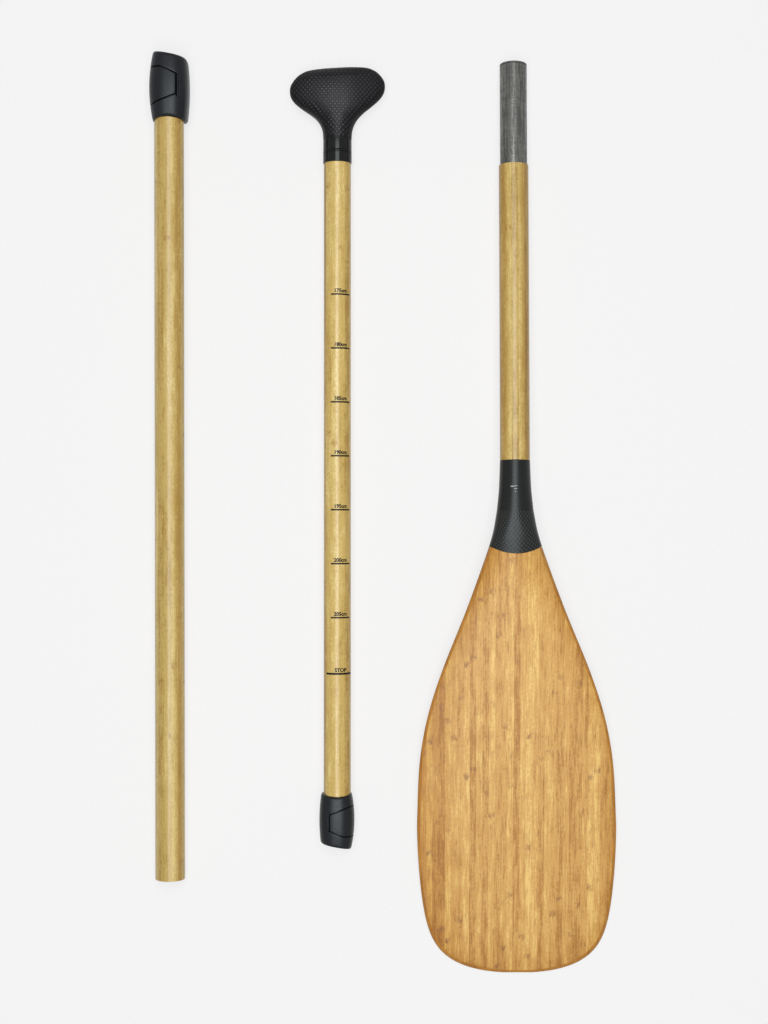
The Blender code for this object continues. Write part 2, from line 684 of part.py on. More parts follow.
def half_thickness(across, below):
    """Half thickness of the blade at a place given by its share of the half width."""
    middle = through(HALF_THICKNESSES, below)
    blend = smooth_step(below / THIN_EDGE_FROM)
    edge = middle + (EDGE_HALF_THICKNESS - middle) * blend
    roundness = NECK_ROUNDNESS * (BLADE_ROUNDNESS / NECK_ROUNDNESS) ** blend
    share = min(abs(across), 1.0)
    return (edge + (middle - edge) * (1 - share**2)) * math.sqrt(1 - share**roundness)


def blade_centre(below):
    """Height of the blade's middle surface, which bends away from the shaft's axis at the neck."""
    if below <= 0:
        return 0.0
    return -math.tan(BLADE_RAKE) * (math.hypot(below, BLADE_BEND_RADIUS) - BLADE_BEND_RADIUS)


def blade_point(x, level, side, inset=0.0):
    """A point on the blade's skin: rows bow towards the tip around the sleeve's edge."""
    reach = half_width(level)
    fade = smooth_step(level / SLEEVE_LENGTH) * (1 - smooth_step((level - SLEEVE_LENGTH) / SLEEVE_BOW_FADE))
    below = level + SLEEVE_BOW * fade * (1 - min(abs(x) / reach, 1.0) ** 2)
    thickness = max(half_thickness(x / half_width(below), below) - inset, 0.0)
    return Vector((x + math.tan(BLADE_LEAN) * max(below, 0), -below, blade_centre(below) + side * thickness))


def ring_angles():
    """Angles round a blade section, half a step off its edges."""
    return [2 * math.pi * (i + 0.5) / BLADE_SEGMENTS for i in range(BLADE_SEGMENTS)]


def full_share():
    """How much wider than its reach a section is drawn so that its outermost points lie on that reach."""
    return 1 / math.cos(ring_angles()[0])


def blade_ring(level, reach, inset):
    """A closed section of the blade or neck, narrowed to a reach and thinned by an inset."""
    ring = []
    for angle in ring_angles():
        ring.append(blade_point(reach * math.cos(angle), level, math.copysign(1, math.sin(angle)), inset))
    return ring


def round_ring(radius, y):
    return [Vector((radius * math.cos(a), y, radius * math.sin(a))) for a in ring_angles()]


def tip_levels(start, shrink, count=TIP_ROWS):
    """Levels from the widest place to the tip, closer together as the outline turns in."""
    span = (BLADE_LENGTH - shrink - start) * TIP_LAST_ROW
    return [start + span * (1 - (1 - share) ** TIP_CROWDING) for share in steps(0, 1, count)[1:]]


def inner_half_width(level, shrink):
    """Half width of the blade's outline taken in by the same amount at its sides and its tip."""
    stretched = level
    if level > BLADE_WIDEST:
        share = (level - BLADE_WIDEST) / (BLADE_LENGTH - shrink - BLADE_WIDEST)
        stretched = BLADE_WIDEST + share * (BLADE_LENGTH - BLADE_WIDEST)
    return max(half_width(stretched) - shrink, TIP_HALF_WIDTH)


def wrap_levels():
    """Levels of the lower part of the wrap, over the blade's neck cone."""
    return steps(-WRAP_STEP, 0.0, WRAP_ROWS)


def sleeve_levels():
    return steps(0.0, SLEEVE_LENGTH, SLEEVE_ROWS)


def make_neck_wrap(looks, section):
    inner_levels = wrap_levels()[:-1] + [-BUTT_GAP]
    outer_levels = steps(-WRAP_LENGTH, -WRAP_STEP, WRAP_ROWS) + inner_levels[1:]
    skin = SKIN_THICKNESS
    shaft_ring = INNER_RADIUS + SKIN_GAP
    rings = [blade_ring(level, half_width(level), 0.0) for level in outer_levels]
    rings += [blade_ring(level, half_width(level) - skin, skin) for level in reversed(inner_levels)]
    rings += [round_ring(shaft_ring, WRAP_STEP), round_ring(shaft_ring, WRAP_LENGTH)]
    smooth(add_object("neck_wrap", loft(rings, True), looks["gloss_black"], section))


def make_neck_sleeve(looks, section):
    levels = sleeve_levels()
    skin = SKIN_THICKNESS
    rings = [blade_ring(level, half_width(level), 0.0) for level in levels]
    rings += [blade_ring(level, half_width(level) - skin, skin) for level in reversed(levels)]
    smooth(add_object("neck_sleeve", loft(rings, True), looks["woven_sleeve"], section))


def make_blade_core(looks, section):
    """Tang, neck cone and blade core in one piece."""
    skin = SKIN_THICKNESS + SKIN_GAP
    tang = CORE_BORE - PLUG_GAP
    rings = [round_ring(tang, WRAP_STEP + TANG_LENGTH), round_ring(tang, WRAP_STEP - BUTT_GAP)]
    hidden = [2 * BUTT_GAP - WRAP_STEP] + wrap_levels()[1:-1] + sleeve_levels()[:-1]
    hidden.append(SLEEVE_LENGTH - EDGE_BAND_WIDTH / 2)
    neck_skin = SKIN_THICKNESS + NECK_GAP
    rings += [blade_ring(level, half_width(level) - neck_skin, neck_skin) for level in hidden]
    for level in blade_levels():
        rings.append(blade_ring(level, inner_half_width(level, FACE_SHRINK) * full_share(), skin))
    smooth(add_object("blade_core", loft(rings), looks["core_wood"], section))


def blade_levels():
    """Levels of the blade's open faces, from the sleeve's edge to inside the edge band at the tip."""
    levels = steps(SLEEVE_LENGTH + BUTT_GAP, BLADE_WIDEST, BLADE_ROWS)
    return levels + tip_levels(BLADE_WIDEST, FACE_SHRINK)


def make_veneer(name, side, looks, section):
    levels = blade_levels()
    across = [math.cos(angle) * full_share() for angle in ring_angles() if math.sin(angle) * side > 0]

    def surface(inset):
        def place(i, j):
            level = levels[j]
            return blade_point(across[i] * inner_half_width(level, FACE_SHRINK), level, side, inset)

        return place

    sheet = slab(surface(0.0), surface(SKIN_THICKNESS), len(across), len(levels))
    smooth(add_object(name, sheet, looks["blade_bamboo"], section))


def make_edge_band(looks, section):
    """A band along both sides and round the tip."""
    sides = steps(SLEEVE_LENGTH + BUTT_GAP, BLADE_WIDEST, BLADE_ROWS)
    places = [(level, level, 1) for level in sides]
    outer_tip, inner_tip = tip_levels(BLADE_WIDEST, 0.0), tip_levels(BLADE_WIDEST, EDGE_BAND_WIDTH)
    places += [(outer, inner, 1) for outer, inner in zip(outer_tip, inner_tip)]
    places += [(outer, inner, -1) for outer, inner, _ in reversed(places)]
    rounding = EDGE_HALF_THICKNESS / 2
    rings = []
    for outer, inner, hand in places:
        tip_share = smooth_step((outer - BLADE_WIDEST) / (BLADE_LENGTH - BLADE_WIDEST))
        shoulder_level = outer - rounding * tip_share
        inner_x = hand * inner_half_width(inner, EDGE_BAND_WIDTH)
        shoulder_x, outer_x = hand * (half_width(outer) - rounding), hand * half_width(outer)
        ring = [blade_point(inner_x, inner, 1), blade_point(shoulder_x, shoulder_level, 1)]
        ring.append(blade_point(outer_x, outer, 1, EDGE_HALF_THICKNESS))
        ring += [blade_point(shoulder_x, shoulder_level, -1), blade_point(inner_x, inner, -1)]
        rings.append(ring)
    smooth(add_object("blade_edge_band", loft(rings), looks["edge_band"], section))


def blade_supports():
    """The ferrule's end and the blade's tip, on which the section lies."""
    tip = blade_point(0.0, tip_levels(BLADE_WIDEST, 0.0)[-1], -1)
    return (SHAFT_ABOVE_NECK, -INNER_RADIUS), (tip.y, tip.z)


def make_blade_section(x, neck_y, looks):
    """Origin on the shaft's axis at the top of the neck sleeve."""
    section = lay_down("blade_section", blade_supports(), x, neck_y)
    core = tube(INNER_RADIUS, CORE_BORE, WRAP_STEP, SHAFT_ABOVE_NECK - CAP_THICKNESS - BUTT_GAP)
    smooth(add_object("blade_shaft_core", core, looks["fibre"], section))
    bamboo_ends = (WRAP_LENGTH + BUTT_GAP, SHAFT_ABOVE_NECK - FERRULE_LENGTH)
    bamboo = tube(SHAFT_RADIUS, INNER_RADIUS + GLUE_GAP, *bamboo_ends)
    smooth(add_object("blade_shaft_bamboo", bamboo, looks["shaft_bamboo"], section))
    cap_base = SHAFT_ABOVE_NECK - CAP_THICKNESS
    spigot = CORE_BORE - PLUG_GAP
    stations = [(cap_base - CAP_SPIGOT_LENGTH, spigot), (cap_base, spigot)]
    stations += [(cap_base, INNER_RADIUS), (SHAFT_ABOVE_NECK, INNER_RADIUS)]
    smooth(add_object("ferrule_cap", rod(stations), looks["plug_plastic"], section))
    make_neck_wrap(looks, section)
    make_neck_sleeve(looks, section)
    make_blade_core(looks, section)
    make_veneer("blade_front_veneer", 1, looks, section)
    make_veneer("blade_back_veneer", -1, looks, section)
    make_edge_band(looks, section)


def main():
    clear_scene()
    looks = make_materials()
    clamp = ClampSizes(SHAFT_RADIUS, 1.0)
    left_reach = max(-clamp.surface(math.pi, clamp.length / 2).x, clamp.boss - clamp.pivot.x)
    lean = math.tan(BLADE_LEAN) * BLADE_WIDEST
    width = left_reach + MID_TO_HANDLE + HANDLE_TO_BLADE + BLADE_HALF_WIDTH + lean
    mid_x = left_reach - width / 2
    top = CLAMP_ABOVE_NECK + clamp.end(clamp.surface(math.pi, clamp.length / 2).x)
    tilt, (tip_y, tip_z) = lying_tilt(blade_supports()), blade_supports()[1]
    bottom = tip_z * math.sin(tilt) - tip_y * math.cos(tilt)
    neck_y = (bottom - top) / 2
    make_mid_section(mid_x, neck_y + CLAMP_ABOVE_NECK, looks)
    make_handle_section(mid_x + MID_TO_HANDLE, neck_y + GRIP_ABOVE_NECK, looks)
    make_blade_section(mid_x + MID_TO_HANDLE + HANDLE_TO_BLADE, neck_y, looks)


main()
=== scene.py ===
"""Looks of the three-section stand-up paddleboard paddle. Lengths are in metres."""
import json
import math

import bmesh
import bpy
from mathutils import Matrix, Vector


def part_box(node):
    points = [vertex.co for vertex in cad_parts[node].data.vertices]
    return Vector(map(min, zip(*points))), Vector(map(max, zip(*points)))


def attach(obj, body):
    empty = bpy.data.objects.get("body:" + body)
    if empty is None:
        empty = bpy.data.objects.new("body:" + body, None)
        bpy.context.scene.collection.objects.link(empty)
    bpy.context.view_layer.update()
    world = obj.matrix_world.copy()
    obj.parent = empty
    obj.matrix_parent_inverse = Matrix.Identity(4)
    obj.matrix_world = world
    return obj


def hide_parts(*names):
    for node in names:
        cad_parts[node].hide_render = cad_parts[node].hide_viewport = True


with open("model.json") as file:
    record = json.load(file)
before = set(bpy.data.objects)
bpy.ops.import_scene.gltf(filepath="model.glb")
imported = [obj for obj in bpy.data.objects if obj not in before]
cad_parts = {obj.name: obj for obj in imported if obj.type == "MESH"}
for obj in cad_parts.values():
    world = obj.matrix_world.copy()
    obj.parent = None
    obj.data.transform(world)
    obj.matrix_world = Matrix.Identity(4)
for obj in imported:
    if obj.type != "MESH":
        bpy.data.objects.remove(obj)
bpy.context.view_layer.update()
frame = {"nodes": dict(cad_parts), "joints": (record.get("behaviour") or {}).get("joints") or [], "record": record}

# Camera, straight above the middle of the photograph
CAMERA_X = 0.0004
CAMERA_Y = 0.0039
CAMERA_HEIGHT = 1.516
CAMERA_LENS = 56.4

# Floor and lamps
GROUND_DIFFUSE = 0.890
GROUND_SEEN = 0.912
GROUND_SIZE = 12.0
GROUND_DROP = 0.0005
SHADOW_SHARE = 0.22
WORLD_FILL = 0.17
WORLD_SEEN = 0.905
LAMP_X = -0.02
LAMP_HEIGHT = 2.0
LAMP_SIZE = (1.0, 2.0)
LAMP_RADIANCE = 6.6

# Tubes
SHAFT_RADIUS = 0.0138
SHAFT_WALL = 0.0006
GLUE_GAP = 0.00005
LINER_WALL = 0.00035
SLIDING_GAP = 0.00015
BORE_RADIUS = SHAFT_RADIUS - SHAFT_WALL - GLUE_GAP - LINER_WALL
INNER_RADIUS = BORE_RADIUS - SLIDING_GAP
CORE_WALL = 0.0012
CORE_BORE = INNER_RADIUS - CORE_WALL
MID_STRIPS = 8
TUBE_SEGMENTS = 96
TUBE_EDGE = 0.00012
ROD_SEGMENTS = 48
SHARP_ANGLE = math.radians(35)
BUTT_GAP = 0.0003
MID_EXPOSED_LENGTH = 0.7074
HANDLE_EXPOSED_LENGTH = 0.6000
SHAFT_ABOVE_NECK = 0.4190
FERRULE_LENGTH = 0.0960
CAP_THICKNESS = 0.0016
CAP_EASE = 0.00035
CAP_PLUG_LENGTH = 0.012
CAP_PLUG_GAP = 0.0002
COLLAR_LENGTH = 0.0115
COLLAR_WALL = 0.00075

# Clamps
CLAMP_LENGTH = 0.0595
CLAMP_SEAT = 0.0240
LOWER_CLAMP_SIZE = 0.80
CLAMP_END_SLOPE = 0.15
CLAMP_WALLS = {"right": 0.0050, "left": 0.0042, "front": 0.0047, "back": 0.0084}
CLAMP_BARRELS = {"right": 0.0020, "left": 0.0030, "front": 0.0020, "back": 0.0}
CLAMP_END_ROUNDING = 0.0032
CLAMP_RIM_SHARE = 0.35
CLAMP_FOOT_ARCH = 0.0014
CLAMP_SQUARENESS = 2.5
CLAMP_BACK_SQUARENESS = 3.2
LEVER_SEAT_WALL = 0.0007
LEVER_GAP = 0.0003
LEVER_TIP_X = 0.0086
LEVER_POCKET_X = 0.0127
LEVER_TIP_HEIGHTS = (0.0217, 0.0396)
LEVER_ROOT_HEIGHTS = (0.0131, 0.0463)
LEVER_TAPER_FROM_X = -0.0150
LEVER_TOP_BEND_X = -0.0069
LEVER_TOP_BEND_RADIUS = 0.0020
LEVER_POCKET_DROP = 0.0018
LEVER_ROUND_OVER = 0.00045
SCOOP_DEPTH_SHARE = 0.30
GROOVE = 0.0012
GROOVE_WALL = 0.00008
GROOVE_BEVEL = 0.00040
BEVEL_DEPTH = 0.02
BRINK_DEPTH = 0.07
PIVOT_ANGLE = math.radians(232)
LEVER_ROOT_ANGLE = math.radians(224)
PIVOT_BOSS_RADIUS = 0.0037
PIVOT_PIN_RADIUS = 0.0022
PIVOT_WALL = 0.0019
POCKET_MOUTH = (math.radians(125), math.radians(242))
LEVER_SWING = math.radians(95)
BOLT_RADIUS = 0.0015
BOLT_HEAD_RADIUS = 0.0026
BOLT_POCKET_WALL = 0.0006
EAR_THICKNESS = 0.0050
SLIT_HALF_WIDTH = 0.0010
SLIT_START = 0.0120
BUSH_WALL = 0.0011

# Length marks on the handle tube: places along it below the grip, and ways round it from +X to +Z
MARK_FIRST = 0.1350
MARK_PITCH = 0.0500
MARK_LENGTHS = (175, 180, 185, 190, 195, 200, 205)
MARK_ARC = (math.radians(26), math.radians(117))
STOP_BELOW_LAST = 0.0520
STOP_ARC = (math.radians(10), math.radians(142))
MARK_LINE_WIDTH = 0.00145
STOP_LINE_WIDTH = 0.00190
MARK_TEXT_ANGLE = math.radians(74)
MARK_TEXT_SIZE = 0.0047
MARK_TEXT_BOLDNESS = 0.00022
MARK_TEXT_CURVES = 4
MARK_TEXT_LIFT = 0.0011
MARK_CUTS_PER_LETTER = 12
MARK_BAR_VERTICES = 48
WELD_DISTANCE = 1e-7
INK_DEPTH = 0.00004

# Grip: height above its base, and shares of the half width and half depth beyond the neck
GRIP_HEIGHT = 0.0779
GRIP_HALF_WIDTH = 0.0445
GRIP_HALF_DEPTH = 0.0150
GRIP_NECK_RADIUS = 0.0131
GRIP_SQUARENESS = 2.0
GRIP_SQUARER = 0.5
GRIP_TILT = 0.052
GRIP_TILT_FROM = 0.20
GRIP_TILT_FULL = 0.48
GRIP_BODY = (
    (0.00, 0.000, 0.000),
    (0.12, 0.005, 0.000),
    (0.24, 0.025, 0.000),
    (0.33, 0.105, 0.090),
    (0.40, 0.230, 0.230),
    (0.46, 0.395, 0.400),
    (0.53, 0.630, 0.600),
    (0.60, 0.835, 0.800),
    (0.67, 0.960, 0.930),
    (0.74, 1.000, 1.000),
    (0.81, 0.978, 0.980),
    (0.87, 0.890, 0.880),
)
GRIP_CROWN = ((0.92, 0.840, 0.840), (0.955, 0.745, 0.680), (0.98, 0.635, 0.500), (1.0, 0.400, 0.220))
STUD_PITCH = 0.00262
STUD_STRETCH = (1.02, 1.18, 1.0)
STUD_RADIUS = 0.00142
STUD_HEIGHT = 0.00018
STUD_FIELD = 0.110
STUD_ROWS = (0.0118, 0.0725)
STUD_DROP_FROM = 0.05
STUD_FACING = (0.42, 0.90)
STUD_SMALLEST = 0.45
STUD_TOP_SHARE = 0.58
GRIP_BORE_ENDS = (-0.02, 0.0383)
RING_LENGTH = 0.0106
RING_PROUD = 0.00022
RING_SUNK = 0.0012
RING_BEVEL = 0.0002
RING_EASE = 0.0006
COLLAR_BEAD = 0.0016
COLLAR_GROOVE = 0.00030
COLLAR_EASE = 0.0004

# Where the palm rubs the grip smooth: its middle's X and Y, and how far it is full and gone; then its stretch along Y
PALM_RUB = (-0.051, 0.376, 0.012, 0.034)
PALM_RUB_STRETCH = 0.42

# Bamboo: a strip's width, its nodes' spacing, the reach of a node's stain and how far a strip sways; then the tint of
# toast and painted shade, where the blade's painted margin shade centres in shares across it, and its darker places in
# metres below its datum
SHAFT_STRIP = 0.0066
SHAFT_NODES = 0.23
BLADE_STRIP = 0.0058
BLADE_NODES = 0.105
NODE_REACH = 0.0042
SWAY_SHARE = 0.30
TOAST_AND_SHADE_TINT = (0.70, 0.56, 0.32)
MARGIN_SHADE_OFF_CENTRE = 0.09
TIP_DARKENING = (0.385, 0.445)
NECK_DARKENING = (0.085, 0.035)

# Neck and blade, at distances below the neck's datum
WRAP_LENGTH = 0.0466
WRAP_STEP = 0.0240
TAPE_EDGE = -0.0222
TAPE_THICKNESS = 0.00013
PUCKERS = (
    (-0.0031, -0.0223, 0.0024, 0.00075, 0.00014),
    (-0.0003, -0.0226, 0.0018, 0.00060, 0.00012),
    (-0.0004, -0.0202, 0.0019, 0.00060, 0.00012),
    (-0.0006, -0.0176, 0.0009, 0.00070, 0.00012),
)
PUCKER_FOOT = 0.0005
SLEEVE_LENGTH = 0.0320
SLEEVE_BOW = 0.0070
SLEEVE_BOW_FADE = 0.100
BLADE_LENGTH = 0.4325
BLADE_HALF_WIDTH = 0.0933
BLADE_WIDEST = 0.2910
BLADE_SIDE_TAPER = 0.18
TIP_SQUARENESS = 8.5
TIP_ROUNDING = 0.425
TIP_END_SHARE = 0.998
TIP_CROWDING = 2.2
TIP_LEAST_HALF_WIDTH = 0.0015
BLADE_RAKE = math.radians(8)
BLADE_BEND_RADIUS = 0.025
BLADE_LEAN = math.radians(0.6)
EDGE_HALF_THICKNESS = 0.0019
THIN_EDGE_FROM = 0.060
NECK_ROUNDNESS = 2
BLADE_ROUNDNESS = 40
SKIN_THICKNESS = 0.0007
EDGE_BAND_WIDTH = 0.0026
NECK_TOP_HALF_WIDTH = 0.01385
NECK_WIDTHS = (
    (-0.0480, NECK_TOP_HALF_WIDTH),
    (-0.0340, 0.0143),
    (-0.0200, 0.0150),
    (-0.0060, 0.0164),
    (0.0000, 0.0171),
    (0.0220, 0.0214),
    (0.0505, 0.0308),
    (0.0930, 0.0466),
    (0.1495, 0.0694),
    (0.1920, 0.0829),
    (0.2340, 0.0903),
    (BLADE_WIDEST, BLADE_HALF_WIDTH),
)
HALF_THICKNESSES = (
    (-0.0480, NECK_TOP_HALF_WIDTH),
    (-0.0200, 0.0143),
    (0.0000, 0.0144),
    (0.0220, 0.0130),
    (0.0505, 0.0100),
    (0.0930, 0.0072),
    (0.1495, 0.0054),
    (0.2340, 0.0042),
    (0.3300, 0.0034),
    (BLADE_LENGTH, 0.0026),
)


def middle(node):
    low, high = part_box(node)
    return (low + high) / 2


def joint_axis(name):
    return Vector(next(joint["axis"] for joint in frame["joints"] if joint["name"] == name))


def section_frame(origin, along):
    """A section's own axes: +Y along its tube, +X level and +Z up."""
    along = along.normalized()
    across = Vector((1, 0, 0))
    turn = Matrix((across, along, across.cross(along))).transposed().to_4x4()
    return Matrix.Translation(origin) @ turn


def frames():
    """The three sections' axes and the lower clamp's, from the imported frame."""
    mid_along = -joint_axis("mid_lever_hinge")
    mid_origin = middle("mid_shaft_liner") + mid_along * (MID_EXPOSED_LENGTH - CLAMP_SEAT) / 2
    handle_along = -joint_axis("lower_clamp_pull_off")
    handle_middle = (HANDLE_EXPOSED_LENGTH + CLAMP_SEAT * LOWER_CLAMP_SIZE + BUTT_GAP) / 2
    handle = section_frame(middle("handle_shaft_liner") + handle_along * handle_middle, handle_along)
    mount = next(entry for entry in frame["record"]["mounts"] if entry["name"] == "ferrule_end")
    blade_along = Vector(mount["axis"])
    return {
        "mid": section_frame(mid_origin, mid_along),
        "handle": handle,
        "lower_clamp": handle @ Matrix.Translation((0, -HANDLE_EXPOSED_LENGTH, 0)) @ Matrix.Rotation(math.pi, 4, "Z"),
        "blade": section_frame(Vector(mount["pos_m"]) - blade_along * SHAFT_ABOVE_NECK, blade_along),
    }


PLACES = frames()


# Curves and points

def steps(start, end, count):
    return [start + (end - start) * i / count for i in range(count + 1)]


def smooth_step(value):
    share = min(max(value, 0.0), 1.0)
    return share * share * (3 - 2 * share)


def through(stations, at, column=1):
    """Reads a smooth curve through rows of a place and the values there."""
    rows = [(row[0], row[column]) for row in stations]
    if at <= rows[0][0]:
        return rows[0][1]
    if at >= rows[-1][0]:
        return rows[-1][1]
    around = zip([rows[0]] + rows, rows[1:] + [rows[-1]])
    slopes = [(after[1] - before[1]) / (after[0] - before[0]) for before, after in around]
    for (x0, v0), (x1, v1), m0, m1 in zip(rows, rows[1:], slopes, slopes[1:]):
        if at <= x1:
            span = x1 - x0
            t = (at - x0) / span
            rise = (2 * t**3 - 3 * t**2 + 1) * v0 + (3 * t**2 - 2 * t**3) * v1
            return rise + span * ((t**3 - 2 * t**2 + t) * m0 + (t**3 - t**2) * m1)


def direction(angle):
    """A unit vector in the XZ plane, turned from +X towards +Z."""
    return Vector((math.cos(angle), 0, math.sin(angle)))


def spot(angle, radius, y):
    """A point at a direction and a distance from the Y axis."""
    return Vector((0, y, 0)) + direction(angle) * radius


def circle(radius, y, segments=TUBE_SEGMENTS):
    turns = (2 * math.pi * i / segments for i in range(segments))
    return [Vector((radius * math.cos(a), y, radius * math.sin(a))) for a in turns]


# Meshes, each built as a bmesh

def cover(source, grid, uvs, round_rows=False, round_columns=False):
    """Quads over rows of points, which may close up; the UV function reads a corner's column and row."""
    layer = source.loops.layers.uv.active
    rows = [[source.verts.new(point) for point in row] for row in grid]
    tall, wide = len(rows), len(rows[0])
    for j in range(tall if round_columns else tall - 1):
        below = (j + 1) % tall
        for i in range(wide if round_rows else wide - 1):
            corners = ((i, j), (i + 1, j), (i + 1, below), (i, below))
            face = source.faces.new([rows[row][column % wide] for column, row in corners])
            if uvs:
                for loop, corner in zip(face.loops, corners):
                    loop[layer].uv = uvs(*corner)
    return rows


def new_source(uvs):
    """An empty bmesh, with the piece's own UV map if it has one."""
    source = bmesh.new()
    if uvs:
        source.loops.layers.uv.new("strips")
    return source


def loft(rings, closed=False, uvs=None):
    """Quads between closed rings of points, capped unless the last ring meets the first."""
    source = new_source(uvs)
    rows = cover(source, rings, uvs, True, closed)
    if not closed:
        source.faces.new(rows[0])
        source.faces.new(rows[-1])
    return source


def sheet(top, bottom, uvs=None):
    """A closed sheet between two grids of points."""
    source = new_source(uvs)
    upper, lower = (cover(source, grid, uvs) for grid in (top, bottom))
    last_row, last_column = len(upper) - 1, len(upper[0]) - 1
    rim = [(0, i) for i in range(last_column)] + [(j, last_column) for j in range(last_row)]
    rim += [(last_row, i) for i in range(last_column, 0, -1)] + [(j, 0) for j in range(last_row, 0, -1)]
    for (j, i), (n, m) in zip(rim, rim[1:] + rim[:1]):
        source.faces.new((upper[j][i], upper[n][m], lower[n][m], lower[j][i]))
    return source


def turned(profile, closed=True):
    """A turned shell from (y, radius) points, with its way round and its length as UV in metres."""
    girth = 2 * math.pi * max(radius for _, radius in profile)
    rings = [circle(radius, y) for y, radius in profile]
    return loft(rings, closed, lambda column, row: (column / TUBE_SEGMENTS * girth, profile[row][0]))


def tube(outer, inner, low, high):
    """A tube with its outer edges eased."""
    eased = outer - TUBE_EDGE
    return turned([(low + TUBE_EDGE, outer), (high - TUBE_EDGE, outer), (high, eased), (high, inner),
                   (low, inner), (low, eased)])


def rod_along(start, end, radius):
    along = end - start
    turn = Vector((0, 1, 0)).rotation_difference(along.normalized()).to_matrix().to_4x4()
    source = loft([circle(radius, y, ROD_SEGMENTS) for y in (0, along.length)])
    bmesh.ops.transform(source, matrix=Matrix.Translation(start) @ turn, verts=source.verts)
    return source


def prism(corners, low, high):
    """A solid with corners in the XZ plane, from low to high along Y."""
    return loft([[Vector((corner.x, y, corner.z)) for corner in corners] for y in (low, high)])


# Pieces

def link(name, data):
    """A new object in the scene."""
    made = bpy.data.objects.new(name, data)
    bpy.context.scene.collection.objects.link(made)
    return made


def mesh_from(name, source):
    """A mesh from a bmesh, with its faces turned outwards."""
    bmesh.ops.recalc_face_normals(source, faces=source.faces)
    mesh = bpy.data.meshes.new(name)
    source.to_mesh(mesh)
    source.free()
    return mesh


def evaluated_mesh(made):
    return bpy.data.meshes.new_from_object(made.evaluated_get(bpy.context.evaluated_depsgraph_get()))


def keep_modified(made):
    """Keeps what an object's modifiers make of it as its plain mesh."""
    old, made.data = made.data, evaluated_mesh(made)
    made.modifiers.clear()
    bpy.data.meshes.remove(old)


def settle(piece, place):
    """Moves a piece's mesh to its place and shades it."""
    piece.data.transform(place)
    piece.data.shade_smooth()
    piece.data.set_sharp_from_angle(angle=SHARP_ANGLE)


def add_piece(name, source, look, place=Matrix.Identity(4)):
    """A piece with its place in its mesh."""
    piece = link(name, mesh_from(name, source))
    piece.data.materials.append(LOOKS[look])
    settle(piece, place)
    return piece


def fit(piece, body, slot, *nodes):
    """Rides a piece on its body and hides the solids that it stands for; the slot is not used."""
    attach(piece, body)
    if nodes:
        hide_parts(*nodes)


def put(name, source, section, look, slot, *nodes):
    """Adds a finished piece to one of the three sections."""
    fit(add_piece(name, source, look, PLACES[section]), f"{section}_section", slot, *nodes)


def combine(made, source, operation="DIFFERENCE"):
    """Cuts a shape from a piece, or joins it, in the piece's own frame."""
    tool = link("tool", mesh_from("tool", source))
    boolean = made.modifiers.new("cut", "BOOLEAN")
    boolean.operation = operation
    boolean.solver = "EXACT"
    boolean.object = tool
    keep_modified(made)
    bpy.data.objects.remove(tool)


def paint(node, look):
    for entry in frame["nodes"][node].material_slots:
        entry.material = LOOKS[look]


# Node trees

def reckoned(operation):
    return lambda value, other=0.0: value.graph.math(operation, value, other)


class Value:
    """A node's output that can be reckoned with; each step adds a node."""

    __add__ = __radd__ = reckoned("ADD")
    __sub__ = reckoned("SUBTRACT")
    __mul__ = __rmul__ = reckoned("MULTIPLY")
    __truediv__ = reckoned("DIVIDE")
    __mod__ = reckoned("FLOORED_MODULO")
    __lt__ = reckoned("LESS_THAN")
    __gt__ = reckoned("GREATER_THAN")
    __abs__ = reckoned("ABSOLUTE")
    floor = reckoned("FLOOR")
    fraction = reckoned("FRACT")
    root = reckoned("SQRT")
    sine = reckoned("SINE")
    cosine = reckoned("COSINE")
    or_more = reckoned("MAXIMUM")

    def __init__(self, graph, socket):
        self.graph, self.socket = graph, socket

    def __rsub__(self, other):
        return self.graph.math("SUBTRACT", other, self)

    def beside(self, output):
        """Another output of the same node."""
        return Value(self.graph, self.socket.node.outputs[output])

    def centred(self, amount):
        """A value about a half, as an amount about nothing."""
        return (self - 0.5) * amount

    def band(self, low, high, to_low=0.0, to_high=1.0):
        """Maps a value smoothly from one range to another."""
        inputs = {0: self, 1: low, 2: high, 3: to_low, 4: to_high}
        return self.graph.node("ShaderNodeMapRange", inputs, interpolation_type="SMOOTHSTEP")


class Graph:
    """A node tree built from numbers, colours and other nodes' outputs."""

    def __init__(self, tree):
        self.tree = tree

    def plug(self, target, value):
        if isinstance(value, Value):
            self.tree.links.new(value.socket, target)
        elif target.type == "RGBA":
            target.default_value = (*value, 1.0)
        else:
            target.default_value = value

    def node(self, kind, inputs=None, output=0, **settings):
        """Adds a node and gives one of its outputs."""
        made = self.tree.nodes.new(kind)
        for key, value in settings.items():
            setattr(made, key, value)
        for key, value in (inputs or {}).items():
            self.plug(made.inputs[key], value)
        return Value(self, made.outputs[output])

    def end(self, kind, value):
        """Adds the tree's output node and plugs a value into it."""
        self.plug(self.tree.nodes.new(kind).inputs[0], value)

    def math(self, operation, a, b=0.0):
        return self.node("ShaderNodeMath", {0: a, 1: b}, operation=operation)

    def join(self, x=0.0, y=0.0, z=0.0):
        return self.node("ShaderNodeCombineXYZ", {0: x, 1: y, 2: z})

    def split(self, vector):
        x = self.node("ShaderNodeSeparateXYZ", {0: vector})
        return x, x.beside(1), x.beside(2)


